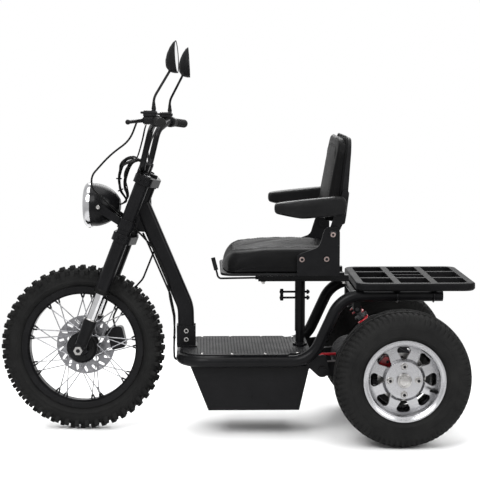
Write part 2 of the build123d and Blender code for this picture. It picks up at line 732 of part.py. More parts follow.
with BuildPart() as slide_lever:
    add(rod([(-84, 148, 580), (58, 148, 578), (77, 148, 652)], [14], 3.5))
    with Locations(Plane(origin=(66, 148, 609), x_dir=(0, 1, 0), z_dir=(19, 0, 74))):
        Cylinder(7.5, 46, align=(Align.CENTER, Align.CENTER, Align.MIN))
    with Locations((-88, 147.4, 580)):
        Box(24, 4, 12)
save(slide_lever.part, "slide_lever")

seat_mid_x = (seat_front_x + seat_rear_x) / 2
seat_length = seat_front_x - seat_rear_x
with BuildPart() as seat_pan:
    with BuildSketch(Plane.XY.offset(pan_z)):
        with Locations((seat_mid_x, 0)):
            RectangleRounded(seat_length, seat_half * 2, 40)
    extrude(amount=8)
    with BuildSketch(Plane.XY.offset(pan_z)):
        with Locations((-288, 0)):
            Rectangle(140, (seat_half + 5) * 2)
    extrude(amount=8)
save(seat_pan.part, "seat_pan")

cushion_floor = pan_z + 8 + gap
with BuildPart() as seat_cushion:
    for z, shrink in ((cushion_floor, 10), (cushion_floor + 22, 0), (cushion_top - 26, 0), (cushion_top, 44)):
        with BuildSketch(Plane.XY.offset(z)):
            with Locations((seat_mid_x, 0)):
                RectangleRounded(seat_length - shrink, seat_half * 2 - shrink, 44)
    loft(ruled=True)
save(seat_cushion.part, "seat_cushion")

# Seat side brackets with the backrest hinge
bracket_y = seat_half + 5 + gap
with BuildPart() as seat_bracket:
    with BuildSketch(Plane(origin=(0, bracket_y + 5, 0), x_dir=(1, 0, 0), z_dir=(0, -1, 0))):
        with BuildLine():
            FilletPolyline(
                (-222, pan_z), (-222, 672), (-300, 700), (-322, 772), (-374, 772), (-374, pan_z), (-222, pan_z),
                radius=[4, 14, 30, 22, 22, 12], close=True,
            )
        make_face()
    extrude(amount=5)
    for x, z in ((-239, 656), (-327, 657)):
        with BuildSketch(Plane(origin=(x, bracket_y + 5, z), x_dir=(1, 0, 0), z_dir=(0, 1, 0))):
            RegularPolygon(9, 6)
        extrude(amount=6)
    with Locations(Plane(origin=(hinge_x, ear_y - 8, hinge_z), z_dir=(0, 1, 0))):
        Cylinder(6, bracket_y + 5 - ear_y + 8, align=(Align.CENTER, Align.CENTER, Align.MIN))
    with Locations(Plane(origin=(hinge_x, bracket_y + 5, hinge_z), z_dir=(0, 1, 0))):
        Cylinder(11, 6, align=(Align.CENTER, Align.CENTER, Align.MIN))
save(both_sides(seat_bracket.part), "seat_brackets")

# Backrest: local plane on the hinge, u forward and v up the back
back_up = Vector(-sin(radians(back_lean)), 0, cos(radians(back_lean)))
back_forward = Vector(cos(radians(back_lean)), 0, sin(radians(back_lean)))
hinge_point = Vector(hinge_x, 0, hinge_z)
back_side = Plane(origin=hinge_point, x_dir=back_forward, z_dir=(0, -1, 0))
back_face = Plane(origin=hinge_point, x_dir=(0, 1, 0), z_dir=back_forward)
back_corner = 64
with BuildPart() as back_outline:
    with BuildSketch(back_face.offset(-60)):
        with BuildLine():
            FilletPolyline(
                (-back_half, back_low), (back_half, back_low), (back_half, back_high), (-back_half, back_high),
                (-back_half, back_low), radius=[24, back_corner, back_corner, 24], close=True,
            )
        make_face()
    extrude(amount=120)
with BuildPart() as back_shell:
    with BuildSketch(back_side.offset(-back_half)):
        with BuildLine():
            FilletPolyline(
                (-42, back_low), (-18, back_high), (-2, back_high), (-10, back_low), (-42, back_low),
                radius=[8, 8, 6, 4], close=True,
            )
        make_face()
    extrude(amount=back_half * 2)
    add(back_outline.part, mode=Mode.INTERSECT)
    for side in (1, -1):
        with BuildSketch(back_side.offset(-side * (ear_y - 4))):
            with Locations((0, 0)):
                Circle(17)
            with Locations((-26, back_low + 34), (-24, 150)):
                Circle(12)
            make_hull()
            Circle(6.06, mode=Mode.SUBTRACT)
        extrude(amount=-4 * side)
    for side in (1, -1):
        with BuildSketch(back_side.offset(-side * (back_half - 1))):
            with Locations((-26, back_low + 40), (-24, 146)):
                Circle(11)
            make_hull()
        extrude(amount=-side * (ear_y - 3 - back_half + 1))
    arm_root = Vector(armrest_x, 0, armrest_z)
    arm_pin_end = armrest_y + armrest_wide / 2 - arm_bore_floor - 1
    for side in (1, -1):
        with Locations(Plane(origin=arm_root + Vector(0, side * (ear_y - 1), 0), z_dir=(0, side, 0))):
            Cylinder(8, arm_pin_end - ear_y + 1, align=(Align.CENTER, Align.CENTER, Align.MIN))
save(back_shell.part, "backrest_shell")

with BuildPart() as back_cushion:
    with BuildSketch(back_side.offset(-back_half)):
        Polygon(
            (-10 + gap, back_low), (-2 + gap, back_high), (back_front - 10, back_high), (back_front, back_low), align=None,
        )
    extrude(amount=back_half * 2)
    add(back_outline.part, mode=Mode.INTERSECT)
    fillet(back_cushion.faces().sort_by(Axis((0, 0, 0), back_forward))[-1].edges(), 18)
save(back_cushion.part, "backrest_cushion")

# Armrests
for side, name in ((1, "armrest_left"), (-1, "armrest_right")):
    with BuildPart() as armrest:
        inner = side * (armrest_y - armrest_wide / 2)
        with BuildSketch(Plane(origin=(0, armrest_y * side + armrest_wide / 2, 0), x_dir=(1, 0, 0), z_dir=(0, -1, 0))):
            with BuildLine():
                FilletPolyline(
                    (-395, 816), (-395, 890), (-136, 862), (-136, 822), (-235, 802), (-395, 816),
                    radius=[24, 26, 14, 14, 40], close=True,
                )
            make_face()
        extrude(amount=armrest_wide)
        fillet(armrest.faces().sort_by(Axis.Y)[0].edges() + armrest.faces().sort_by(Axis.Y)[-1].edges(), 10)
        with Locations(Plane(origin=(armrest_x, inner, armrest_z), z_dir=(0, side, 0))):
            Cylinder(8.06, (armrest_wide - arm_bore_floor) * 2, mode=Mode.SUBTRACT)
    save(armrest.part, name)

# Rear axle, motor, swing arm and brakes
rear_point = Vector(rear_axle_x, 0, rear_tyre_radius)
wheel_y = track / 2
housing_radius = 30
housing_inset = 82
housing_half = wheel_y - housing_inset
with BuildPart() as axle_housing:
    with Locations(Plane(origin=rear_point, z_dir=(0, 1, 0))):
        Cylinder(housing_radius, housing_half * 2)
        Cylinder(76, 96)
        Cylinder(64, 128)
    for side in (1, -1):
        with Locations(Plane(origin=rear_point + Vector(0, side * housing_half, 0), z_dir=(0, side, 0))):
            Cylinder(18, wheel_y + 20 - housing_half, align=(Align.CENTER, Align.CENTER, Align.MIN))
        with Locations(Plane(origin=rear_point + Vector(0, side * (housing_half - 12), 0), z_dir=(0, side, 0))):
            Cylinder(46, 10)
save(axle_housing.part, "axle_housing")

motor_x = rear_axle_x + 152
with BuildPart() as motor:
    with Locations(Plane(origin=(motor_x, 0, 262), z_dir=(0, 1, 0))):
        Cylinder(68, 176)
        Cylinder(62, 196)
    with Locations(Plane(origin=rear_point, z_dir=(0, 1, 0))):
        Cylinder(76 + gap, 200, mode=Mode.SUBTRACT)
save(motor.part, "motor")

with BuildPart() as swing_arm:
    for side in (1, -1):
        with BuildSketch(Plane(origin=(0, side * arm_y + 14, 0), x_dir=(1, 0, 0), z_dir=(0, -1, 0))):
            with Locations((pivot_x, pivot_z)):
                Circle(22)
            with Locations((rear_axle_x, rear_tyre_radius)):
                Circle(44)
            make_hull()
        extrude(amount=28)
        with Locations(Plane(origin=(pivot_x, side * (arm_y + 18), pivot_z), z_dir=(0, 1, 0))):
            Cylinder(18, 2 * (pivot_y - 4 - gap - arm_y - 18))
        with Locations(Plane(origin=(shock_low[0] + 10, side * shock_y, shock_low[1] - 30), z_dir=(0, 1, 0))):
            Cylinder(24, 38)
    with Locations(Plane(origin=(pivot_x, 0, pivot_z), z_dir=(0, 1, 0))):
        Cylinder(16, arm_y * 2)
    with Locations(Plane(origin=rear_point, z_dir=(0, 1, 0))):
        Cylinder(housing_radius + gap, 500, mode=Mode.SUBTRACT)
    with Locations(Plane(origin=(motor_x, 0, 262), z_dir=(0, 1, 0))):
        Cylinder(68 + 4, 200, mode=Mode.SUBTRACT)
    for side in (1, -1):
        with Locations(Plane(origin=(shock_low[0], side * shock_y, shock_low[1]), z_dir=(0, 1, 0))):
            Cylinder(19, 26, mode=Mode.SUBTRACT)
            Cylinder(6 + gap, 60, mode=Mode.SUBTRACT)
    for side in (1, -1):
        for y in (shock_y - 19, shock_y + 13):
            with BuildSketch(Plane(origin=(0, side * (y + 3) - 3, 0), x_dir=(1, 0, 0), z_dir=(0, -1, 0))):
                with Locations(shock_low):
                    Circle(15)
                with Locations((shock_low[0] + 10, shock_low[1] - 30)):
                    Circle(24)
                make_hull()
                with Locations((rear_axle_x, rear_tyre_radius)):
                    Circle(housing_radius + gap, mode=Mode.SUBTRACT)
                with Locations(shock_low):
                    Circle(6 + gap, mode=Mode.SUBTRACT)
            extrude(amount=-6)
    for side in (1, -1):
        with Locations(Plane(origin=(pivot_x, side * arm_y, pivot_z), z_dir=(0, side, 0))):
            Cylinder(8, pivot_y + 6 - arm_y, align=(Align.CENTER, Align.CENTER, Align.MIN))
        face = Plane(origin=(pivot_x, side * (pivot_y + 4 + gap), pivot_z), x_dir=(1, 0, 0), z_dir=(0, side, 0))
        with BuildSketch(face):
            RegularPolygon(14, 6)
        extrude(amount=9)
save(swing_arm.part, "swing_arm")

# Dampers and springs
shock_a = Vector(shock_low[0], shock_y, shock_low[1])
shock_b = Vector(shock_top[0], shock_y, shock_top[1])
shock_run = shock_b - shock_a
shock_line = Plane(origin=shock_a, x_dir=(0, 1, 0), z_dir=shock_run)
shock_length = shock_run.length
with BuildPart() as damper:
    for low, high, radius in (
        (0, shock_length, 8), (24, 120, 14), (26, 34, 24), (shock_length - 34, shock_length - 26, 24),
    ):
        with BuildSketch(shock_line.offset(low)):
            Circle(radius)
        extrude(amount=high - low)
    for end in (shock_a, shock_b):
        with Locations(Plane(origin=end, z_dir=(0, 1, 0))):
            Cylinder(13, 25)
            Cylinder(6, 48)
save(both_sides(damper.part), "dampers")

spring_low = 34 + gap
spring_high = shock_length - 34 - gap
spring_wire = 3.6
spring_turns = 7
with BuildPart() as spring:
    coil_height = spring_high - spring_low - spring_wire * 2
    with BuildLine() as coil:
        Helix(
            coil_height / spring_turns, coil_height, 19,
            center=shock_line.offset(spring_low + spring_wire).origin, direction=shock_run,
        )
    with BuildSketch(Plane(origin=coil.line @ 0, z_dir=coil.line % 0)):
        RegularPolygon(spring_wire, 6)
    sweep(path=coil.line, is_frenet=True)
save(both_sides(spring.part), "springs")

# Rear wheels: one table row a side
rear_lip = 145
rear_half = 75
rear_tyre_half = 82
window_inner = 68
window_outer = 116.5
window_half = 28
window_floor = 16
rear_disc_y = -22
window_count = 8
with BuildSketch() as window:
    with BuildLine():
        FilletPolyline(
            (window_inner, -6), (window_outer - 8.5, -window_half), (window_outer, -window_half / 2),
            (window_outer, window_half / 2), (window_outer - 8.5, window_half), (window_inner, 6), (window_inner, -6),
            radius=[6, 12, 10, 10, 12, 6], close=True,
        )
    make_face()
for side, name in ((1, "left"), (-1, "right")):
    centre = rear_point + Vector(0, side * wheel_y, 0)
    profile = Plane(origin=centre, x_dir=(1, 0, 0), z_dir=(0, 0, side))
    turn_axis = Axis(centre, (0, 1, 0))
    with BuildPart() as rear_tyre:
        with BuildSketch(profile):
            with BuildLine():
                Polyline((128 + gap, 60), (128 + gap, rear_half - 5 - gap), (rear_lip + 3, rear_half - 5 - gap))
                Polyline((rear_lip + 3, rear_half - 5 - gap), (166, rear_tyre_half - 1), (196, rear_tyre_half))
                ThreePointArc((196, rear_tyre_half), (222, rear_tyre_half - 7), (236, rear_tyre_half - 24))
                ThreePointArc((236, rear_tyre_half - 24), (rear_tyre_radius, 0), (236, 24 - rear_tyre_half))
                ThreePointArc((236, 24 - rear_tyre_half), (222, 7 - rear_tyre_half), (196, -rear_tyre_half))
                Polyline((196, -rear_tyre_half), (166, 1 - rear_tyre_half), (rear_lip + 3, 5 + gap - rear_half))
                Polyline((rear_lip + 3, 5 + gap - rear_half), (128 + gap, 5 + gap - rear_half), (128 + gap, -60))
                Polyline((128 + gap, -60), (160, -70), (212, -64), (224, 0), (212, 64), (160, 70), (128 + gap, 60))
            make_face()
        revolve(axis=turn_axis)
    save(rear_tyre.part, f"rear_tyre_{name}")

    with BuildPart() as rear_rim:
        with BuildSketch(profile):
            barrel = [
                (rear_lip, -rear_half), (rear_lip, 5 - rear_half), (128, 5 - rear_half), (128, -58), (112, -48), (112, -2),
                (128, 12), (128, rear_half - 5), (rear_lip, rear_half - 5), (rear_lip, rear_half),
                (139, rear_half), (127, 67), (123, 60), (123, 14.5), (107, 0.5), (107, -46), (123, -62), (123, -rear_half),
            ]
            Polygon(*barrel, align=None)
            Polygon((20, 26), (64, 26), (70, 20), (124, 20), (124, 32), (76, 40), (66, 50), (20, 50), align=None)
        revolve(axis=turn_axis)
        with BuildSketch(Plane(origin=centre, x_dir=(1, 0, 0), z_dir=(0, side, 0)).offset(window_floor)):
            with PolarLocations(0, window_count):
                add(window.sketch)
        extrude(amount=40, mode=Mode.SUBTRACT)
    save(rear_rim.part, f"rear_rim_{name}")

    with BuildPart() as rear_hub:
        with BuildSketch(profile):
            Polygon((18.06, -36), (30, -36), (30, -14), (58, 12), (58, 26 - gap), (18.06, 26 - gap), align=None)
        revolve(axis=turn_axis)
        with BuildSketch(Plane(origin=centre + Vector(0, side * rear_disc_y, 0), z_dir=(0, side, 0))):
            Circle(86)
            Circle(18.06, mode=Mode.SUBTRACT)
            with PolarLocations(70, 12):
                Circle(5, mode=Mode.SUBTRACT)
        extrude(amount=4)
        with BuildSketch(Plane(origin=centre + Vector(0, side * (26 - gap - 4), 0), z_dir=(0, side, 0))):
            Circle(20 - gap)
        extrude(amount=4 + gap)
        with BuildSketch(Plane(origin=centre + Vector(0, side * 26, 0), z_dir=(0, side, 0))):
            Circle(20 - gap)
        extrude(amount=24 + gap)
        with BuildSketch(Plane(origin=centre + Vector(0, side * (50 + gap), 0), z_dir=(0, side, 0))):
            Circle(24)
            with PolarLocations(50, 4):
                RegularPolygon(10, 6)
        extrude(amount=12)
    save(rear_hub.part, f"rear_hub_{name}")

# Rear calipers, fixed to the housing, seen through the wheel windows
with BuildPart() as rear_caliper:
    flange_y = housing_half - 17
    disc_face = wheel_y + rear_disc_y + 2
    with BuildSketch(Plane(origin=rear_point + Vector(0, disc_face - 20, 0), x_dir=(0.8, 0, 0.6), z_dir=(0, 1, 0))):
        with Locations((76, 0)):
            RectangleRounded(40, 54, 8)
    extrude(amount=36)
    with Locations(Plane(origin=rear_point + Vector(0, disc_face, 0), z_dir=(0, 1, 0))):
        Cylinder(91, 12, mode=Mode.SUBTRACT)
    with BuildSketch(Plane(origin=rear_point + Vector(0, flange_y + 10 + gap, 0), x_dir=(0.8, 0, 0.6), z_dir=(0, 1, 0))):
        with Locations((66, 0)):
            Rectangle(40, 36)
    extrude(amount=disc_face - 20 - flange_y - 10)
    with Locations(Plane(origin=rear_point, z_dir=(0, 1, 0))):
        Cylinder(46 + gap, 600, mode=Mode.SUBTRACT)
save(both_sides(rear_caliper.part), "rear_calipers")

motor_cable = [(-271.2, 90, 241), (-284, 90, 250), (-322, 88, 288), (-374.2, 88, 289)]
save(rod(motor_cable, [12, 20], 5), "motor_cable")

# Luggage rack and its saddles
with BuildPart() as rack:
    with BuildSketch(Plane.XY.offset(rack_top - rack_thick)):
        with Locations((rack_mid_x, 0)):
            RectangleRounded(rack_length, rack_half * 2, 46)
            RectangleRounded(rack_length - 56, rack_half * 2 - 56, 22, mode=Mode.SUBTRACT)
    extrude(amount=rack_thick)
    fillet(rack.faces().sort_by(Axis.Z)[-1].outer_wire().edges(), 7)
    chamfer(rack.faces().sort_by(Axis.Z)[0].outer_wire().edges(), 6)
    with BuildSketch(Plane.XY.offset(rack_top - rack_thick)):
        with Locations((rack_mid_x, 0)):
            with GridLocations(132, 0, 2, 1):
                Rectangle(24, rack_half * 2 - 40)
    extrude(amount=rack_thick)
    with BuildSketch(Plane.XY.offset(rack_top - 14)):
        with Locations((rack_mid_x, 0)):
            with GridLocations(0, 176, 1, 2):
                Rectangle(rack_length - 40, 22)
            Rectangle(132, 10)
    extrude(amount=14)
save(rack.part, "rack")
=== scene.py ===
import json
import math
import random
import bmesh
import bpy
from mathutils import Matrix, Vector
from mathutils.bvhtree import BVHTree


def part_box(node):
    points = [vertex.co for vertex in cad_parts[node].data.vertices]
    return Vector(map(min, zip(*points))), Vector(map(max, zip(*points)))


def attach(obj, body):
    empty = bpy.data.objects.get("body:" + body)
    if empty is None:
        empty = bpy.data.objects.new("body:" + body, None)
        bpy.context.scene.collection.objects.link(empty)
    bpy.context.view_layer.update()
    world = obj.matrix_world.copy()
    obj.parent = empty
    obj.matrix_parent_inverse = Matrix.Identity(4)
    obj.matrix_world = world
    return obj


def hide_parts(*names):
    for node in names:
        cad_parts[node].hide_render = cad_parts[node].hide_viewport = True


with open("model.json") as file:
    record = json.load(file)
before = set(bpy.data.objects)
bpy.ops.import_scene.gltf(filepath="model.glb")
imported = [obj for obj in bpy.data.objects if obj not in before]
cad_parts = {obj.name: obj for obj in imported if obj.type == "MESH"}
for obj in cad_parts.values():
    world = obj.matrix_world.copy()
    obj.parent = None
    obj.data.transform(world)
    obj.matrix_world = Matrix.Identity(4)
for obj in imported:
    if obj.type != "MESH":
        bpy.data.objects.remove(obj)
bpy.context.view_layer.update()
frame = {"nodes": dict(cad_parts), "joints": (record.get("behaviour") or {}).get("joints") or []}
nodes = frame["nodes"]
joints = {joint["name"]: joint for joint in frame["joints"]}
scene = bpy.context.scene
print("frame loaded:", len(nodes), "nodes")

# Camera where the photographer stood, metres
cameraSetup = {"place": (0.1154, 5.6967, 1.3007), "look": (-0.0243, -0.9942, -0.1045), "lens": 116.0}


def makeCamera(setup):
    data = bpy.data.cameras.new("photoCamera")
    data.lens = setup["lens"]
    data.sensor_width = 36.0
    camera = bpy.data.objects.new("photoCamera", data)
    camera.location = setup["place"]
    camera.rotation_euler = Vector(setup["look"]).to_track_quat("-Z", "Y").to_euler()
    scene.collection.objects.link(camera)
    scene.camera = camera


makeCamera(cameraSetup)

# Node tree helpers


def addNode(tree, kind, **inputs):
    node = tree.nodes.new("ShaderNode" + kind)
    for key, value in inputs.items():
        node.inputs[key.replace("_", " ")].default_value = value
    return node


def join(tree, source, target):
    tree.links.new(source, target)


def mathNode(tree, operation, first, second=None, clamp=False):
    node = tree.nodes.new("ShaderNodeMath")
    node.operation = operation
    node.use_clamp = clamp
    for index, value in enumerate((first, second)):
        if value is None:
            continue
        if isinstance(value, (int, float)):
            node.inputs[index].default_value = value
        else:
            join(tree, value, node.inputs[index])
    return node.outputs[0]


def vectorNode(tree, operation, first, second=None):
    node = tree.nodes.new("ShaderNodeVectorMath")
    node.operation = operation
    join(tree, first, node.inputs[0])
    if second is not None:
        if isinstance(second, tuple):
            node.inputs[1].default_value = second
        else:
            join(tree, second, node.inputs[1])
    return node


def spread(tree, value, low, high, fromLow=0.0, fromHigh=1.0):
    node = addNode(tree, "MapRange", From_Min=fromLow, From_Max=fromHigh, To_Min=low, To_Max=high)
    join(tree, value, node.inputs["Value"])
    return node.outputs["Result"]


def tint(tree, factor, dark, light):
    node = tree.nodes.new("ShaderNodeMix")
    node.data_type = "RGBA"
    join(tree, factor, node.inputs["Factor"])
    node.inputs["A"].default_value = (*dark, 1)
    node.inputs["B"].default_value = (*light, 1)
    return node.outputs["Result"]


def makeGroup(name, inputs, outputs):
    group = bpy.data.node_groups.new(name, "ShaderNodeTree")
    for label, kind, value in inputs:
        socket = group.interface.new_socket(label, in_out="INPUT", socket_type=kind)
        socket.default_value = value
    for label, kind in outputs:
        group.interface.new_socket(label, in_out="OUTPUT", socket_type=kind)
    return group, group.nodes.new("NodeGroupInput").outputs, group.nodes.new("NodeGroupOutput").inputs


def placeGroup(tree, group, **values):
    node = tree.nodes.new("ShaderNodeGroup")
    node.node_tree = group
    for key, value in values.items():
        node.inputs[key.replace("_", " ")].default_value = value
    return node.outputs


# Surface effects shared by the finishes


def makeGrain():
    inputs = [("Grain Scale", "NodeSocketFloat", 900.0), ("Blotch Scale", "NodeSocketFloat", 9.0)]
    outputs = [("Grain", "NodeSocketFloat"), ("Blotch", "NodeSocketFloat")]
    group, given, out = makeGroup("surfaceGrain", inputs, outputs)
    place = group.nodes.new("ShaderNodeTexCoord").outputs["Object"]
    fine = addNode(group, "TexNoise", Detail=2.0, Roughness=0.6)
    join(group, place, fine.inputs["Vector"])
    join(group, given["Grain Scale"], fine.inputs["Scale"])
    broad = addNode(group, "TexNoise", Detail=5.0, Roughness=0.62)
    join(group, place, broad.inputs["Vector"])
    join(group, given["Blotch Scale"], broad.inputs["Scale"])
    join(group, fine.outputs["Fac"], out["Grain"])
    join(group, spread(group, broad.outputs["Fac"], 0.0, 1.0, 0.3, 0.7), out["Blotch"])
    return group


def makePebble():
    inputs = [("Cell Scale", "NodeSocketFloat", 420.0), ("Crease", "NodeSocketFloat", 0.35)]
    outputs = [("Height", "NodeSocketFloat"), ("Valley", "NodeSocketFloat")]
    group, given, out = makeGroup("hidePebble", inputs, outputs)
    place = group.nodes.new("ShaderNodeTexCoord").outputs["Object"]
    wander = addNode(group, "TexNoise", Scale=160.0, Detail=3.0)
    join(group, place, wander.inputs["Vector"])
    bent = vectorNode(group, "SCALE", wander.outputs["Color"])
    bent.inputs["Scale"].default_value = 0.0035
    moved = vectorNode(group, "ADD", place, bent.outputs[0]).outputs[0]
    cells = addNode(group, "TexVoronoi")
    cells.feature = "DISTANCE_TO_EDGE"
    join(group, moved, cells.inputs["Vector"])
    join(group, given["Cell Scale"], cells.inputs["Scale"])
    depth = mathNode(group, "DIVIDE", cells.outputs["Distance"], given["Crease"], clamp=True)
    join(group, mathNode(group, "POWER", depth, 0.6), out["Height"])
    join(group, mathNode(group, "SUBTRACT", 1.0, depth), out["Valley"])
    return group


def makeSoftEdge():
    inputs = [("Gain", "NodeSocketFloat", 2.2)]
    outputs = [("Normal", "NodeSocketVector"), ("Edge", "NodeSocketFloat")]
    group, given, out = makeGroup("softEdge", inputs, outputs)
    bevel = group.nodes.new("ShaderNodeBevel")
    bevel.samples = 4
    bevel.inputs["Radius"].default_value = 0.0016
    flat = group.nodes.new("ShaderNodeNewGeometry").outputs["Normal"]
    dot = vectorNode(group, "DOT_PRODUCT", bevel.outputs["Normal"], flat).outputs["Value"]
    turned = mathNode(group, "SUBTRACT", 1.0, dot)
    join(group, bevel.outputs["Normal"], out["Normal"])
    join(group, mathNode(group, "MULTIPLY", turned, given["Gain"], clamp=True), out["Edge"])
    return group


def makeTurned():
    inputs = [("Centre", "NodeSocketVector", (0.0, 0.0, 0.0)), ("Line Scale", "NodeSocketFloat", 1400.0)]
    outputs = [("Lines", "NodeSocketFloat"), ("Radius", "NodeSocketFloat")]
    group, given, out = makeGroup("turnedLines", inputs, outputs)
    place = group.nodes.new("ShaderNodeTexCoord").outputs["Object"]
    offset = vectorNode(group, "SUBTRACT", place, given["Centre"]).outputs[0]
    flat = vectorNode(group, "MULTIPLY", offset, (1.0, 0.0, 1.0)).outputs[0]
    radius = vectorNode(group, "LENGTH", flat).outputs["Value"]
    line = addNode(group, "TexNoise", Detail=3.0, Roughness=0.7)
    line.noise_dimensions = "1D"
    join(group, radius, line.inputs["W"])
    join(group, given["Line Scale"], line.inputs["Scale"])
    join(group, line.outputs["Fac"], out["Lines"])
    join(group, radius, out["Radius"])
    return group


grainGroup = makeGrain()
pebbleGroup = makePebble()
edgeGroup = makeSoftEdge()
turnedGroup = makeTurned()
print("shared surface effects made")

# Finishes


def startFinish(name, **values):
    material = bpy.data.materials.new(name)
    material.use_nodes = True
    shader = material.node_tree.nodes["Principled BSDF"]
    for key, value in values.items():
        shader.inputs[key.replace("_", " ")].default_value = value
    return material, material.node_tree, shader


def bumpInto(tree, shader, height, strength, distance, normal=None):
    bump = addNode(tree, "Bump", Strength=strength, Distance=distance)
    join(tree, height, bump.inputs["Height"])
    if normal is not None:
        join(tree, normal, bump.inputs["Normal"])
    join(tree, bump.outputs["Normal"], shader.inputs["Normal"])


def paintFinish(name, dark, light, rough, grain, bump, coat, gloss=0.07, edgeHighlight=(0.018, 0.018, 0.019)):
    material, tree, shader = startFinish(name, Coat_Weight=coat, Coat_Roughness=0.12,
                                         Specular_IOR_Level=gloss)
    soft = placeGroup(tree, edgeGroup)
    skin = placeGroup(tree, grainGroup, Grain_Scale=grain, Blotch_Scale=11.0)
    base = tint(tree, skin["Blotch"], dark, light)
    # painted highlight: every edge, found by the bevel edge mask, is mixed towards the lighter edge colour
    edgeHighlightMix = tree.nodes.new("ShaderNodeMix")
    edgeHighlightMix.data_type = "RGBA"
    join(tree, soft["Edge"], edgeHighlightMix.inputs["Factor"])
    join(tree, base, edgeHighlightMix.inputs["A"])
    edgeHighlightMix.inputs["B"].default_value = (*edgeHighlight, 1)
    join(tree, edgeHighlightMix.outputs["Result"], shader.inputs["Base Color"])
    join(tree, spread(tree, skin["Blotch"], *rough), shader.inputs["Roughness"])
    bumpInto(tree, shader, skin["Grain"], bump, 0.0008, soft["Normal"])
    return material


def rubberFinish(name, dark, light, rough, grain, bump):
    material, tree, shader = startFinish(name, Specular_IOR_Level=0.07)
    skin = placeGroup(tree, grainGroup, Grain_Scale=grain, Blotch_Scale=16.0)
    join(tree, tint(tree, skin["Blotch"], dark, light), shader.inputs["Base Color"])
    join(tree, spread(tree, skin["Blotch"], *rough), shader.inputs["Roughness"])
    bumpInto(tree, shader, skin["Grain"], bump, 0.0006)
    return material


def brightFinish(name, colour, shade, rough, grain, bump):
    material, tree, shader = startFinish(name, Metallic=1.0)
    skin = placeGroup(tree, grainGroup, Grain_Scale=grain, Blotch_Scale=24.0)
    join(tree, tint(tree, skin["Blotch"], shade, colour), shader.inputs["Base Color"])
    join(tree, spread(tree, skin["Blotch"], *rough), shader.inputs["Roughness"])
    bumpInto(tree, shader, skin["Grain"], bump, 0.0004)
    return material


def turnedFinish(name, centre, colour, shade, rough, bump, barrelShadeSide=0.0):
    material, tree, shader = startFinish(name, Metallic=1.0)
    skin = placeGroup(tree, grainGroup, Grain_Scale=500.0, Blotch_Scale=14.0)
    rings = placeGroup(tree, turnedGroup, Centre=centre)
    base = tint(tree, rings["Lines"], shade, colour)
    if barrelShadeSide:
        # painted shade: the barrel behind the face and inside the rim is darkened to near-black, standing in
        # for the shadow inside the wheel
        place = tree.nodes.new("ShaderNodeTexCoord").outputs["Object"]
        place = vectorNode(tree, "SUBTRACT", place, centre).outputs[0]
        apart = tree.nodes.new("ShaderNodeSeparateXYZ")
        join(tree, place, apart.inputs[0])
        depth = spread(tree, mathNode(tree, "MULTIPLY", apart.outputs["Y"], barrelShadeSide), 1.0, 0.0, 0.012,
                       0.019)
        inner = mathNode(tree, "MULTIPLY", depth, spread(tree, rings["Radius"], 1.0, 0.0, 0.1405, 0.1425))
        barrelShade = tree.nodes.new("ShaderNodeMix")
        barrelShade.data_type = "RGBA"
        join(tree, inner, barrelShade.inputs["Factor"])
        join(tree, base, barrelShade.inputs["A"])
        barrelShade.inputs["B"].default_value = (0.035, 0.035, 0.037, 1)
        base = barrelShade.outputs["Result"]
    join(tree, base, shader.inputs["Base Color"])
    dulled = mathNode(tree, "ADD", spread(tree, skin["Blotch"], *rough),
                      spread(tree, rings["Lines"], -0.05, 0.07))
    join(tree, dulled, shader.inputs["Roughness"])
    bumpInto(tree, shader, rings["Lines"], bump, 0.0003)
    return material


def vinylFinish():
    material, tree, shader = startFinish("seatVinyl", Specular_IOR_Level=0.035)
    cells = placeGroup(tree, pebbleGroup, Cell_Scale=430.0)
    skin = placeGroup(tree, grainGroup, Grain_Scale=1500.0, Blotch_Scale=7.0)
    base = tint(tree, skin["Blotch"], (0.003, 0.003, 0.0032), (0.006, 0.006, 0.0064))
    # painted shade: the creases between the grain cells are darkened towards near-black
    creaseShade = tree.nodes.new("ShaderNodeMix")
    creaseShade.data_type = "RGBA"
    join(tree, mathNode(tree, "MULTIPLY", cells["Valley"], 0.55), creaseShade.inputs["Factor"])
    join(tree, base, creaseShade.inputs["A"])
    creaseShade.inputs["B"].default_value = (0.002, 0.002, 0.002, 1)
    join(tree, creaseShade.outputs["Result"], shader.inputs["Base Color"])
    dull = mathNode(tree, "MULTIPLY", cells["Valley"], 0.2)
    rough = mathNode(tree, "ADD", spread(tree, skin["Blotch"], 0.3, 0.4), dull)
    join(tree, rough, shader.inputs["Roughness"])
    height = mathNode(tree, "ADD", cells["Height"], mathNode(tree, "MULTIPLY", skin["Grain"], 0.25))
    bumpInto(tree, shader, height, 0.28, 0.0005)
    return material


def plasticFinish(name, dark, light, rough):
    material, tree, shader = startFinish(name, Specular_IOR_Level=0.07)
    soft = placeGroup(tree, edgeGroup)
    cells = placeGroup(tree, pebbleGroup, Cell_Scale=1100.0, Crease=0.5)
    skin = placeGroup(tree, grainGroup, Grain_Scale=700.0, Blotch_Scale=13.0)
    join(tree, tint(tree, skin["Blotch"], dark, light), shader.inputs["Base Color"])
    join(tree, spread(tree, skin["Blotch"], *rough), shader.inputs["Roughness"])
    bumpInto(tree, shader, cells["Height"], 0.18, 0.0004, soft["Normal"])
    return material


def lensFinish():
    material, tree, shader = startFinish("lampGlass", Transmission_Weight=1.0, IOR=1.45)
    skin = placeGroup(tree, grainGroup, Grain_Scale=60.0, Blotch_Scale=18.0)
    join(tree, tint(tree, skin["Blotch"], (0.6, 0.61, 0.62), (0.72, 0.73, 0.74)),
         shader.inputs["Base Color"])
    join(tree, spread(tree, skin["Blotch"], 0.01, 0.05), shader.inputs["Roughness"])
    bumpInto(tree, shader, skin["Grain"], 0.05, 0.0004)
    return material


def wheelCentre(name):
    return tuple(joints[name]["pos_m"])


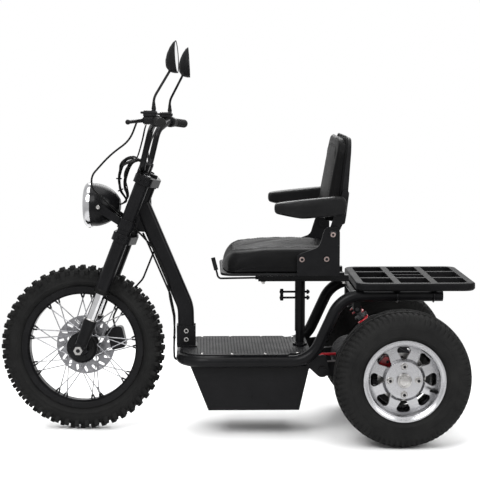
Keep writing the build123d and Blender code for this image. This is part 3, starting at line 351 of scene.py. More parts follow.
frontCentre = wheelCentre("front_wheel_spin")
finishes = {
    "frameBlack": paintFinish("frameBlack", (0.0035, 0.0035, 0.0039), (0.006, 0.006, 0.0066), (0.26, 0.36),
                              650.0, 0.07, 0.02),
    "wheelBlack": paintFinish("wheelBlack", (0.0035, 0.0035, 0.0038), (0.007, 0.007, 0.0075), (0.2, 0.32),
                              800.0, 0.05, 0.03),
    "deckBlack": paintFinish("deckBlack", (0.006, 0.006, 0.0065), (0.012, 0.012, 0.013), (0.48, 0.62),
                             420.0, 0.55, 0.0),
    "rackBlack": paintFinish("rackBlack", (0.0035, 0.0035, 0.0038), (0.007, 0.007, 0.0075), (0.38, 0.5),
                             520.0, 0.22, 0.0, 0.03),
    "moulded": plasticFinish("mouldedPlastic", (0.004, 0.004, 0.0043), (0.008, 0.008, 0.0085),
                             (0.38, 0.52)),
    "armPlastic": plasticFinish("armrestSkin", (0.004, 0.004, 0.0042), (0.007, 0.007, 0.0074),
                                (0.36, 0.46)),
    "hose": rubberFinish("hoseRubber", (0.003, 0.003, 0.003), (0.006, 0.006, 0.006), (0.36, 0.5), 900.0,
                         0.1),
    "tyre": rubberFinish("tyreRubber", (0.005, 0.005, 0.0051), (0.011, 0.011, 0.0108), (0.58, 0.76),
                         1100.0, 0.3),
    "grip": rubberFinish("gripRubber", (0.006, 0.006, 0.006), (0.011, 0.011, 0.011), (0.55, 0.7), 1300.0,
                         0.25),
    "vinyl": vinylFinish(),
    "thread": rubberFinish("seamThread", (0.008, 0.008, 0.008), (0.014, 0.014, 0.014), (0.6, 0.75), 2600.0,
                           0.4),
    "chrome": brightFinish("brightChrome", (0.56, 0.56, 0.57), (0.42, 0.42, 0.43), (0.05, 0.14), 300.0,
                           0.02),
    "ringChrome": brightFinish("ringChrome", (0.5, 0.5, 0.51), (0.34, 0.34, 0.35), (0.06, 0.14), 300.0,
                               0.02),
    "spoke": brightFinish("spokeSteel", (0.3, 0.3, 0.31), (0.16, 0.16, 0.17), (0.25, 0.38), 900.0, 0.08),
    "darkSteel": brightFinish("blackenedSteel", (0.018, 0.018, 0.019), (0.01, 0.01, 0.0108), (0.3, 0.45),
                              900.0, 0.12),
    "casting": brightFinish("castAlloy", (0.06, 0.06, 0.062), (0.03, 0.03, 0.032), (0.42, 0.6), 420.0, 0.5),
    "zinc": brightFinish("zincPlate", (0.42, 0.41, 0.4), (0.28, 0.275, 0.27), (0.2, 0.34), 700.0, 0.1),
    "copper": brightFinish("warmZinc", (0.38, 0.3, 0.28), (0.27, 0.21, 0.2), (0.25, 0.38), 700.0, 0.1),
    "discSteel": turnedFinish("discSteel", frontCentre, (0.3, 0.3, 0.31), (0.13, 0.13, 0.14), (0.22, 0.34),
                              0.25),
    # the last argument sets the side for the painted shade on the barrel behind the face
    "alloyLeft": turnedFinish("alloyLeft", wheelCentre("rear_wheel_left_spin"), (0.44, 0.44, 0.45),
                              (0.25, 0.25, 0.26), (0.2, 0.32), 0.12, 1.0),
    "alloyRight": turnedFinish("alloyRight", wheelCentre("rear_wheel_right_spin"), (0.44, 0.44, 0.45),
                               (0.25, 0.25, 0.26), (0.2, 0.32), 0.12, -1.0),
    # springRed: painted highlight, the edges are mixed to a brighter red
    "springRed": paintFinish("springRed", (0.3, 0.006, 0.012), (0.4, 0.01, 0.02), (0.24, 0.34), 700.0,
                             0.06, 0.2, 0.3, edgeHighlight=(0.5, 0.04, 0.05)),
    "sheathRed": rubberFinish("sheathRed", (0.24, 0.008, 0.013), (0.34, 0.012, 0.02), (0.4, 0.55), 800.0,
                              0.12),
    "lampGlass": lensFinish(),
    "mirror": brightFinish("mirrorSilver", (0.86, 0.87, 0.88), (0.8, 0.81, 0.82), (0.015, 0.04), 40.0,
                           0.01),
}

# Which finish each node of the frame wears
wornBy = {
    "frameBlack": "front_frame neck_bracket deck_frame battery_box seat_post seat_sleeve slide_base "
                  "seat_brackets swing_arm fork_tubes fork_feet fork_clamps handlebar lamp_bucket "
                  "lamp_brackets mirror_arms",
    "wheelBlack": "front_rim front_hub",
    "deckBlack": "deck_plate",
    "rackBlack": "rack",
    "moulded": "rail_plugs slide_lever seat_pan hand_controls mirror_heads wiring_loom battery "
               "backrest_shell",
    "armPlastic": "armrest_left armrest_right",
    "hose": "front_brake_hose rear_brake_hose frame_cables cable_crossing",
    "vinyl": "seat_cushion backrest_cushion",
    "tyre": "front_tyre rear_tyre_left rear_tyre_right",
    "grip": "grips",
    "chrome": "fork_sliders lamp_reflector",
    "ringChrome": "lamp_ring",
    "zinc": "front_axle rear_hub_left rear_hub_right",
    "spoke": "front_spokes",
    "darkSteel": "sleeve_screws front_caliper",
    "discSteel": "front_disc",
    "casting": "axle_housing motor dampers",
    "alloyLeft": "rear_rim_left",
    "alloyRight": "rear_rim_right",
    "springRed": "springs rear_calipers",
    "sheathRed": "motor_cable",
    "lampGlass": "lamp_lens",
    "mirror": "mirror_glass",
}
for finish, wearers in wornBy.items():
    for name in wearers.split():
        nodes[name].data.materials.clear()
        nodes[name].data.materials.append(finishes[finish])
print("finishes worn by", sum(len(w.split()) for w in wornBy.values()), "nodes")

# Straight-ahead fork frame: pieces on the fork are built straight and then turned
steerAxis = Vector(joints["steer"]["axis"])
steerPoint = Vector(joints["steer"]["pos_m"])
steerRest = math.radians(-5.5)
steerTurn = Matrix.Translation(steerPoint) @ Matrix.Rotation(steerRest, 4, steerAxis)
steerTurn = steerTurn @ Matrix.Translation(-steerPoint)
forkForward = Vector((steerAxis.z, 0.0, -steerAxis.x))
axlePoint = steerPoint + forkForward * 0.018
turnedBodies = ("steering", "front_wheel")


def mm(*values):
    return Vector([value / 1000.0 for value in values])


def forkPlace(forward, y, up):
    return axlePoint + (forkForward * forward + steerAxis * up + Vector((0.0, y, 0.0))) / 1000.0


def wheelTurn(place):
    return Matrix.Translation(place) @ Matrix.Rotation(math.radians(-90.0), 4, "X")


# Mesh helpers, sizes in millimetres, written into a bmesh in metres


def lathe(mesh, profile, place, axis, steps=24, closed=False):
    zDir = Vector(axis).normalized()
    xDir = zDir.orthogonal().normalized()
    yDir = zDir.cross(xDir)
    rings = []
    for radius, along in profile:
        base = Vector(place) + zDir * (along / 1000.0)
        if radius < 0.001:
            rings.append([mesh.verts.new(base)])
            continue
        ring = []
        for k in range(steps):
            turn = 2.0 * math.pi * k / steps
            out = xDir * math.cos(turn) + yDir * math.sin(turn)
            ring.append(mesh.verts.new(base + out * (radius / 1000.0)))
        rings.append(ring)
    pairs = list(zip(rings, rings[1:]))
    if closed:
        pairs.append((rings[-1], rings[0]))
    for low, high in pairs:
        for k in range(steps):
            n = (k + 1) % steps
            if len(low) == 1:
                mesh.faces.new((low[0], high[n], high[k]))
            elif len(high) == 1:
                mesh.faces.new((low[k], low[n], high[0]))
            else:
                mesh.faces.new((low[k], low[n], high[n], high[k]))


def tube(mesh, points, radius, steps=10, closed=False):
    count = len(points)
    rings = []
    side = None
    for k, point in enumerate(points):
        before = points[k - 1] if k or closed else point
        after = points[(k + 1) % count] if k < count - 1 or closed else point
        ahead = (after - before).normalized()
        if side is None:
            side = ahead.orthogonal().normalized()
        side = (side - ahead * side.dot(ahead)).normalized()
        over = ahead.cross(side)
        ring = []
        for n in range(steps):
            turn = 2.0 * math.pi * n / steps
            out = side * math.cos(turn) + over * math.sin(turn)
            ring.append(mesh.verts.new(point + out * (radius / 1000.0)))
        rings.append(ring)
    pairs = list(zip(rings, rings[1:]))
    if closed:
        pairs.append((rings[-1], rings[0]))
    for low, high in pairs:
        for n in range(steps):
            m = (n + 1) % steps
            mesh.faces.new((low[n], low[m], high[m], high[n]))
    if not closed:
        mesh.faces.new(list(reversed(rings[0])))
        mesh.faces.new(rings[-1])


def pour(mesh, lump, spot):
    bmesh.ops.transform(lump, matrix=spot, verts=lump.verts)
    spare = bpy.data.meshes.new("spare")
    lump.to_mesh(spare)
    lump.free()
    mesh.from_mesh(spare)
    bpy.data.meshes.remove(spare)


def block(mesh, place, size, bevel=1.0, turn=None, taper=1.0):
    lump = bmesh.new()
    bmesh.ops.create_cube(lump, size=1.0)
    for vert in lump.verts:
        shrink = taper if vert.co.z > 0 else 1.0
        vert.co = Vector((vert.co.x * size[0] * shrink, vert.co.y * size[1] * shrink,
                          vert.co.z * size[2])) / 1000.0
    bmesh.ops.bevel(lump, geom=lump.edges[:], offset=bevel / 1000.0, segments=2, profile=0.5,
                    affect="EDGES")
    pour(mesh, lump, Matrix.Translation(place) @ (turn or Matrix.Identity(4)))


def facing(xDir, zDir):
    zDir = Vector(zDir).normalized()
    yDir = zDir.cross(Vector(xDir)).normalized()
    xDir = yDir.cross(zDir)
    return Matrix((xDir, yDir, zDir)).transposed().to_4x4()


def hexBolt(mesh, place, axis, radius, high, washer=0.0):
    if washer:
        lathe(mesh, [(0, 0), (washer, 0), (washer, 1.2), (washer - 0.5, 1.7), (0, 1.7)], place, axis, 20)
    foot = 1.7 if washer else 0.0
    head = [(0, foot), (radius, foot), (radius, foot + high * 0.78), (radius * 0.86, foot + high),
            (0, foot + high)]
    lathe(mesh, head, place, axis, 6)
    crown = [(radius * 0.5, foot + high - 0.3), (radius * 0.46, foot + high + 0.8), (0, foot + high + 1.0)]
    lathe(mesh, crown, place, axis, 14)


def capScrew(mesh, place, axis, radius, high):
    lathe(mesh, [(0, 0), (radius, 0), (radius, high * 0.84), (radius * 0.9, high), (radius * 0.56, high),
                 (radius * 0.5, high * 0.45), (0, high * 0.4)], place, axis, 18)


def panScrew(mesh, place, axis, radius, high):
    lathe(mesh, [(0, 0), (radius, 0), (radius * 0.96, high * 0.45), (radius * 0.74, high * 0.85),
                 (radius * 0.34, high),
                 (radius * 0.3, high * 0.6), (0, high * 0.55)], place, axis, 16)


kits = {}


def kit(body, finish):
    if (body, finish) not in kits:
        kits[(body, finish)] = bmesh.new()
    return kits[(body, finish)]


def settle(name, mesh, finish, body, sharp=38.0):
    bmesh.ops.recalc_face_normals(mesh, faces=mesh.faces)
    if body in turnedBodies:
        bmesh.ops.transform(mesh, matrix=steerTurn, verts=mesh.verts)
    data = bpy.data.meshes.new(name)
    mesh.to_mesh(data)
    mesh.free()
    data.shade_smooth()
    data.set_sharp_from_angle(angle=math.radians(sharp))
    data.materials.append(finishes[finish])
    piece = bpy.data.objects.new(name, data)
    scene.collection.objects.link(piece)
    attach(piece, body)
    return piece


# Front tyre: carcass with ringed side walls and rounded lugs
frontTyre = {
    "steps": 240, "lugCount": 48, "inside": [(240, 28), (276, 28), (283, 0), (276, -28), (240, -28)],
    "wall": [(219.3, 17), (219.3, 23.7), (228, 23.7), (231, 28), (236, 33), (240, 36), (243.5, 37),
             (244.5, 38), (247.5, 38.2),
             (248.5, 37.5), (256, 38.6), (264, 39), (272, 38), (280, 35.6), (286, 29.5), (289.6, 22),
             (291, 12)],
    # turn in pitches, place across, lean, width, length, root radius, height
    "rows": [(0.0, 11.5, 6.0, 17.0, 20.0, 285.0, 20.0), (0.46, 29.0, 35.0, 20.0, 19.0, 274.0, 23.5)],
    "ribs": (268.0, 38.4, 3.2, 15.0),
}


def makeFrontTyre(setup):
    mesh = bmesh.new()
    wall = setup["wall"]
    outline = wall + [(r, -y) for r, y in reversed(wall)] + list(reversed(setup["inside"]))
    lathe(mesh, outline, (0, 0, 0), (0, 0, 1), setup["steps"], closed=True)
    pitch = 2.0 * math.pi / setup["lugCount"]
    for turn, across, lean, wide, long, root, high in setup["rows"]:
        for side in (1, -1):
            tilt = math.radians(lean) * side
            stand = facing((-math.sin(tilt), 0.0, math.cos(tilt)), (math.cos(tilt), 0.0, math.sin(tilt)))
            spot = mm(root, 0.0, across * side) + stand.to_3x3() @ mm(0.0, 0.0, high / 2.0)
            lump = bmesh.new()
            block(lump, spot, (wide, long, high), 1.7, stand, 0.76)
            lump.to_mesh(lugStamp)
            lump.free()
            for k in range(setup["lugCount"]):
                fresh = bmesh.new()
                fresh.from_mesh(lugStamp)
                pour(mesh, fresh, Matrix.Rotation(pitch * (k + turn), 4, "Z"))
    ribRadius, ribY, ribWide, ribLong = setup["ribs"]
    for k in range(setup["lugCount"] * 2):
        for side in (1, -1):
            spot = Matrix.Rotation(pitch * (k + 0.5) / 2.0, 4, "Z")
            fresh = bmesh.new()
            block(fresh, mm(ribRadius, 0.0, ribY * side), (ribLong, ribWide, 3.0), 0.7)
            pour(mesh, fresh, spot)
    bmesh.ops.transform(mesh, matrix=wheelTurn(axlePoint), verts=mesh.verts)
    piece = settle("frontTyreLugged", mesh, "tyre", "front_wheel", 50.0)
    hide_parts("front_tyre")


lugStamp = bpy.data.meshes.new("lugStamp")
makeFrontTyre(frontTyre)
bpy.data.meshes.remove(lugStamp)
print("front tyre made")

# Rear tyres: ribbed road tread cut into a dense grid
rearTyre = {
    "steps": 576, "cycle": 8, "slots": 3, "grooves": (-39.0, -13.0, 13.0, 39.0), "grooveHalf": 3.0,
    "depth": 6.0, "slotDepth": 4.5,
    "crown": 244.0, "crownDrop": 8.0, "treadHalf": 58.0,
    "shoulder": [(232.6, 65.0), (228.0, 70.5), (222.0, 75.0), (214.0, 78.6), (206.0, 80.8), (199.0, 81.8)],
    "wall": [(192.5, 82.0), (191.8, 82.9), (188.6, 82.9), (187.9, 82.0), (178.0, 81.8), (169.0, 81.3),
             (165.0, 80.6),
             (163.5, 81.6), (158.0, 79.6), (155.0, 76.4), (150.5, 72.4), (147.0, 69.7)],
    "bead": [(128.3, 69.7), (128.3, 60.0), (160.0, 70.0), (212.0, 64.0)],
}


def makeRearTyre(name, body, node, setup):
    flank = setup["shoulder"] + setup["wall"] + setup["bead"]
    across = [-setup["treadHalf"], -50.0, -45.0, -26.0, -20.0, -6.0, 0.0, 6.0, 20.0, 26.0, 45.0, 50.0,
              setup["treadHalf"]]
    for centre in setup["grooves"]:
        half = setup["grooveHalf"]
        across += [centre - half - 0.9, centre - half, centre + half, centre + half + 0.9]
    across.sort()
    crown = [(setup["crown"] - setup["crownDrop"] * (y / setup["treadHalf"]) ** 2, y) for y in across]
    outline = [(r, -y) for r, y in reversed(flank)] + crown + flank + [(224.0, 0.0)]
    mesh = bmesh.new()
    rings = []
    for r, y in outline:
        inGroove = any(abs(y - g) <= setup["grooveHalf"] + 0.01 for g in setup["grooves"]) and r > 230.0
        onShoulder = 42.5 < abs(y) < 81.0 and r > 205.0
        onRib = 16.5 < abs(y) < 35.0 and r > 230.0
        ring = []
        for k in range(setup["steps"]):
            cut = setup["depth"] if inGroove else 0.0
            slide = k + int(round((abs(y) - 42.0) * 0.09)) + (4 if y > 0 else 0)
            if onShoulder and slide % setup["cycle"] < setup["slots"]:
                fade = min(1.0, (r - 204.0) / 22.0)
                cut = max(cut, setup["slotDepth"] * fade)
            if onRib and (slide + 3) % (setup["cycle"] * 2) < 2:
                cut = max(cut, 3.0)
            turn = 2.0 * math.pi * k / setup["steps"]
            lean = max(0.0, (abs(y) - setup["treadHalf"]) / 30.0)
            low = (r - cut * (1.0 - lean * 0.5)) / 1000.0
            aside = (y - math.copysign(cut * lean, y)) / 1000.0
            ring.append(mesh.verts.new((low * math.cos(turn), low * math.sin(turn), aside)))
        rings.append(ring)
    for low, high in zip(rings, rings[1:] + rings[:1]):
        for k in range(setup["steps"]):
            n = (k + 1) % setup["steps"]
            mesh.faces.new((low[k], low[n], high[n], high[k]))
    bmesh.ops.transform(mesh, matrix=wheelTurn(Vector(wheelCentre(body + "_spin"))), verts=mesh.verts)
    piece = settle(name, mesh, "tyre", body, 42.0)
    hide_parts(node)


makeRearTyre("rearTyreTreadLeft", "rear_wheel_left", "rear_tyre_left", rearTyre)
makeRearTyre("rearTyreTreadRight", "rear_wheel_right", "rear_tyre_right", rearTyre)
print("rear tyres made")

# Padded pieces: the CAD solid remeshed, shaped, held along its seams and blown up as cloth
padTable = {
    "seatPad": {"node": "seat_cushion", "body": "frame", "voxel": 0.0055, "shrink": 7.0, "cap": 11.0,
                "pressure": 4.0, "fill": 0.8, "finish": "vinyl"},
    "backPad": {"node": "backrest_cushion", "body": "backrest", "voxel": 0.0055, "shrink": 6.0,
                "cap": 10.0, "pressure": 4.0, "fill": 0.75, "finish": "vinyl"},
    "armPadLeft": {"node": "armrest_left", "body": "armrest_left", "voxel": 0.004, "shrink": 2.5,
                   "cap": 5.0, "pressure": 3.0, "fill": 0.9, "finish": "armPlastic"},
    "armPadRight": {"node": "armrest_right", "body": "armrest_right", "voxel": 0.004, "shrink": 2.5,
                    "cap": 5.0, "pressure": 3.0, "fill": 0.9, "finish": "armPlastic"},
}


def ease(value, low, high):
    part = min(1.0, max(0.0, (value - low) / (high - low)))
    return part * part * (3.0 - 2.0 * part)


def roundedLoop(halfX, halfY, corner, spacing, openRear=False):
    corners = [(halfX - corner, halfY - corner, 0.0), (-halfX + corner, halfY - corner, 90.0),
               (-halfX + corner, -halfY + corner, 180.0), (halfX - corner, -halfY + corner, 270.0)]
    rough = []
    for cx, cy, start in corners:
        for k in range(9):
            turn = math.radians(start + 90.0 * k / 8)
            rough.append((cx + corner * math.cos(turn), cy + corner * math.sin(turn)))
    if openRear:
        # from the rear left corner round the front to the rear right corner
        rough = rough[27:] + rough[:9]
        rough = [(-halfX, rough[0][1])] + rough + [(-halfX, rough[-1][1])]
    else:
        rough.append(rough[0])
    points = []
    for (ax, ay), (bx, by) in zip(rough, rough[1:]):
        count = max(1, int(math.hypot(bx - ax, by - ay) / spacing))
        points += [(ax + (bx - ax) * k / count, ay + (by - ay) * k / count) for k in range(count)]
    return points


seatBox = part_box("seat_cushion")
seatMid = (Vector(seatBox[0]) + Vector(seatBox[1])) / 2.0
seatHalf = (Vector(seatBox[1]) - Vector(seatBox[0])) / 2.0
backHinge = Vector(joints["backrest_fold"]["pos_m"])
backLean = math.radians(8.4)
backUp = Vector((-math.sin(backLean), 0.0, math.cos(backLean)))
backForward = Vector((math.cos(backLean), 0.0, math.sin(backLean)))
backMiddle = 0.191
seatSeam = roundedLoop(0.163, 0.172, 0.07, 0.005, openRear=True)
backSeam = roundedLoop(0.117, 0.168, 0.045, 0.005)


seatForm = {"frontBend": 0.056, "sideBend": 0.03, "dish": 0.16, "frontSweep": 0.016}


def nearSeam(seam, a, b):
    return min(math.hypot(a - c, b - d) for c, d in seam)


def shapeSeat(place, normal):
    u = (place.x - seatMid.x) / seatHalf.x
    v = abs(place.y) / seatHalf.y
    high = seatHalf.z * 2.0
    up = (place.z - seatBox[0][2]) / high
    aside = (abs(place.x - seatMid.x) - seatHalf.x + 0.05, abs(place.y) - seatHalf.y + 0.05)
    inside = 0.05 - math.hypot(max(aside[0], 0.0), max(aside[1], 0.0)) - min(max(aside), 0.0)
    bend = seatForm["sideBend"] + (seatForm["frontBend"] - seatForm["sideBend"]) * ease(u, 0.35, 0.95)
    drop = bend - math.sqrt(max(0.0, bend ** 2 - max(0.0, bend - max(inside, 0.0)) ** 2))
    crown = 0.94 - seatForm["dish"] * math.exp(-(v / 0.46) ** 2) + 0.05 * math.exp(-((v - 0.7) / 0.2) ** 2)
    crown -= 0.13 * ease(u, 0.0, 1.0) + 0.06 * ease(-u, 0.3, 1.0)
    solid = min(1.0, 1.0 - 0.026 / high * (1.0 - inside / 0.022)) if inside < 0.022 else 1.0
    place.z = seatBox[0][2] + up / solid * (crown * high - drop)
    place.x -= seatForm["frontSweep"] * ease(v, 0.3, 1.0) * ease(u, 0.4, 1.0)
    held = up < 0.1
    if up > 0.7 and normal.z > 0.5:
        away = nearSeam(seatSeam, place.x - seatMid.x, place.y)
        if away < 0.0045:
            place.z -= 0.005 * (1.0 - away / 0.0045)
            held = True
    return place, held


backForm = {"top": 0.157, "round": 0.024, "middle": 0.016}


def shapeBack(place, normal):
    offset = place - backHinge
    u = offset.dot(backForward)
    v = offset.dot(backUp) - backMiddle
    held = normal.dot(backForward) < -0.5
    below = backForm["top"] - v
    if below < backForm["round"] and u < backForm["middle"]:
        share = max(0.0, below) / backForm["round"]
        pull = (backForm["middle"] - u) * (1.0 - math.sqrt(1.0 - (1.0 - share) ** 2))
        place = place + backForward * pull
        held = False
    if normal.dot(backForward) > 0.5:
        away = nearSeam(backSeam, v, place.y)
        if away < 0.0045:
            place = place - backForward * 0.005 * (1.0 - away / 0.0045)
            held = True
    return place, held


def shapeArm(place, normal):
    crease = -0.352
    held = abs(place.x - crease) < 0.003
    if held:
        place = place - Vector((0.0, normal.y, normal.z)) * 0.0016
    inward = normal.y * place.y < 0.0
    return place, held or abs(normal.y) > 0.9 and (inward or place.x < -0.36)


padShapes = {"seatPad": shapeSeat, "backPad": shapeBack, "armPadLeft": shapeArm, "armPadRight": shapeArm}


puffing = {"passes": 6, "factor": 0.5, "quality": 5, "frames": 20, "endPasses": 2, "endFactor": 0.35}
everyAxis = {"use_axis_x": True, "use_axis_y": True, "use_axis_z": True}


def freshMesh(piece):
    graph = bpy.context.evaluated_depsgraph_get()
    return bpy.data.meshes.new_from_object(piece.evaluated_get(graph))


def makePad(name, setup):
    piece = bpy.data.objects.new(name, nodes[setup["node"]].data.copy())
    scene.collection.objects.link(piece)
    skin = piece.modifiers.new("skin", "REMESH")
    skin.mode = "VOXEL"
    skin.voxel_size = setup["voxel"]
    piece.data = freshMesh(piece)
    piece.modifiers.clear()
    group = piece.vertex_groups.new(name="held")
    heldPoints = set()
    normals = [vert.normal.copy() for vert in piece.data.vertices]
    for vert, normal in zip(piece.data.vertices, normals):
        place, held = padShapes[name](vert.co.copy(), normal)
        if held:
            heldPoints.add(vert.index)
            group.add([vert.index], 1.0, "ADD")
            vert.co = place
        else:
            vert.co = place - normal * (setup["shrink"] / 1000.0)
    edit = bmesh.new()
    edit.from_mesh(piece.data)
    edit.verts.ensure_lookup_table()
    loose = [vert for vert in edit.verts if vert.index not in heldPoints]
    for turn in range(puffing["passes"]):
        bmesh.ops.smooth_vert(edit, verts=loose, factor=puffing["factor"], **everyAxis)
    edit.to_mesh(piece.data)
    edit.free()
    start = [vert.co.copy() for vert in piece.data.vertices]
    puff = piece.modifiers.new("puff", "CLOTH")
    puff.settings.quality = puffing["quality"]
    puff.settings.use_pressure = True
    puff.settings.uniform_pressure_force = setup["pressure"]
    puff.settings.effector_weights.gravity = 0.0
    puff.settings.vertex_group_mass = "held"
    puff.collision_settings.use_collision = False
    for step in range(1, puffing["frames"] + 1):
        scene.frame_set(step)
    blown = freshMesh(piece)
    cap = setup["cap"] / 1000.0
    piece.modifiers.clear()
    for vert, before, after in zip(piece.data.vertices, start, blown.vertices):
        move = after.co - before
        vert.co = before + (move if move.length < cap else move * (cap / move.length))
    bpy.data.meshes.remove(blown)
    scene.frame_set(1)
    edit = bmesh.new()
    edit.from_mesh(piece.data)
    edit.verts.ensure_lookup_table()
    for turn in range(puffing["endPasses"]):
        bmesh.ops.smooth_vert(edit, verts=edit.verts, factor=puffing["endFactor"], **everyAxis)
    edit.to_mesh(piece.data)
    edit.free()
    piece.data.shade_smooth()
    piece.data.materials.clear()
    piece.data.materials.append(finishes[setup["finish"]])
    finer = piece.modifiers.new("finer", "SUBSURF")
    finer.levels = 1
    finer.render_levels = 1
    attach(piece, setup["body"])
    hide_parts(setup["node"])
    print(name, "blown up,", len(piece.data.vertices), "points")
    return piece


pads = {name: makePad(name, setup) for name, setup in padTable.items()}

# Stitches along both sides of each sewn line, dropped on to the finished pad
stitchTable = {"length": 4.2, "pitch": 6.0, "aside": 3.2, "radius": 0.75, "reach": 0.08}


def sewLine(name, pad, body, points, drop, setup):
    mesh = bmesh.new()
    tree = BVHTree.FromObject(pad, bpy.context.evaluated_depsgraph_get())
    gone = 0.0
    for before, after in zip(points, points[1:]):
        run = after - before
        gone += run.length
        if gone < setup["pitch"] / 1000.0:
            continue
        gone = 0.0
        ahead = run.normalized()
        aside = ahead.cross(drop).normalized()
        for side in (1, -1):
            middle = (before + after) / 2.0 + aside * side * setup["aside"] / 1000.0
            ends = []
            for shift in (-0.5, 0.0, 0.5):
                start = middle + ahead * shift * setup["length"] / 1000.0 - drop * setup["reach"]
                hit, normal, index, far = tree.ray_cast(start, drop, setup["reach"] * 2.0)
                if hit is not None:
                    ends.append(hit + normal * (0.0001 if shift else 0.0005))
            if len(ends) == 3:
                tube(mesh, ends, setup["radius"], 6)
    settle(name, mesh, "thread", body, 60.0)


seatLine = [Vector((seatMid.x + a, b, seatBox[1][2])) for a, b in seatSeam]
backLine = [backHinge + backUp * (backMiddle + a) + Vector((0.0, b, 0.0)) + backForward * 0.04
            for a, b in backSeam]
sewLine("seatStitches", pads["seatPad"], "frame", seatLine, Vector((0.0, 0.0, -1.0)), stitchTable)
sewLine("backStitches", pads["backPad"], "backrest", backLine, -backForward, stitchTable)
print("pads sewn")

# Handlebar ends and controls, straight-ahead millimetres, left side; the right side is mirrored
barEnds = {"end": (221.0, 380.0, 1134.0), "inner": (262.0, 215.0, 1141.0), "ribs": 20, "ribPitch": 4.8,
           "gripRadius": 16.0}


def sided(place, side):
    return mm(place[0], place[1] * side, place[2])


def makeGrips(setup):
    mesh = bmesh.new()
    big = setup["gripRadius"]
    profile = [(0, 0), (11, 0), (14.4, 0.8), (big, 3.5), (big, 10), (big - 1.5, 12)]
    for k in range(setup["ribs"]):
        foot = 13.5 + setup["ribPitch"] * k
        profile += [(big - 1.5, foot), (big - 0.1, foot + 0.9), (big - 0.1, foot + 2.9),
                    (big - 1.5, foot + 3.8)]
    profile += [(big, 111), (big, 118.6), (big - 1.2, 120), (11.5, 120), (11.5, 5), (0, 5)]
    for side in (1, -1):
        end = sided(setup["end"], side)
        run = (sided(setup["inner"], side) - end).normalized()
        lathe(mesh, profile, end - run * 0.004, run, 40)
    piece = settle("ribbedGrips", mesh, "grip", "steering", 30.0)
    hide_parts("grips")


makeGrips(barEnds)

# Head lamp: fluted glass, bulb and its shield
lampTableInner = {"axis": 833.0, "radius": 70.7, "edge": 542.0, "bulge": 16.0, "glass": 3.2, "flute": 1.1,
                  "flutePitch": 8.0,
                  "rings": 34, "steps": 144}


def makeLens(setup):
    mesh = bmesh.new()
    radius = setup["radius"]
    curve = (radius ** 2 + setup["bulge"] ** 2) / (2.0 * setup["bulge"])
    centre = setup["edge"] + setup["bulge"] - curve
    rows = [(radius * k / setup["rings"], 0) for k in range(1, setup["rings"] + 1)]
    rows += [(r, 1) for r, inner in reversed(rows)]
    rings = []
    for r, inner in rows:
        ring = []
        for k in range(setup["steps"]):
            turn = 2.0 * math.pi * k / setup["steps"]
            y = r * math.cos(turn)
            x = centre + math.sqrt(curve ** 2 - r ** 2)
            if inner:
                x -= setup["glass"] + setup["flute"] * abs(math.sin(math.pi * y / setup["flutePitch"]))
            ring.append(mesh.verts.new(mm(x, y, setup["axis"] + r * math.sin(turn))))
        rings.append(ring)
    for low, high in zip(rings, rings[1:]):
        for k in range(setup["steps"]):
            n = (k + 1) % setup["steps"]
            mesh.faces.new((low[k], low[n], high[n], high[k]))
    mesh.faces.new(rings[0])
    mesh.faces.new(list(reversed(rings[-1])))
    piece = settle("flutedLens", mesh, "lampGlass", "steering", 50.0)
    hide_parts("lamp_lens")


makeLens(lampTableInner)
lampHeart = mm(0, 0, lampTableInner["axis"])
lathe(kit("steering", "zinc"), [(0, 463), (11.4, 463), (11.4, 470), (8.6, 472), (8.6, 478), (0, 478)],
      lampHeart, (1, 0, 0))
lathe(kit("steering", "lampGlass"), [(0, 478.2), (6.5, 478.2), (8.2, 484), (8.2, 495), (6, 500), (0, 501)],
      lampHeart, (1, 0, 0))
lathe(kit("steering", "chrome"), [(0, 505), (9, 504), (11, 496), (10.4, 496), (8.4, 503.2), (0, 504)],
      lampHeart, (1, 0, 0))
panScrew(kit("steering", "zinc"), mm(533, 0, 750.6), (0, 0, -1), 4.5, 3.5)
print("lamp and grips made")

# Small hardware on the fork and handlebar
leverBlock = (280.5, 249.1, 1142.6)
switchBlock = (276.3, 245.7, 1165.7)
stalkFoot = (262.3, 253.7, 1177.0)
forkHardware = {"clampUps": (441.0, 666.0), "barForward": 18.2, "barUp": 720.0, "capUp": 682.0,
                "axleEnd": 123.2}


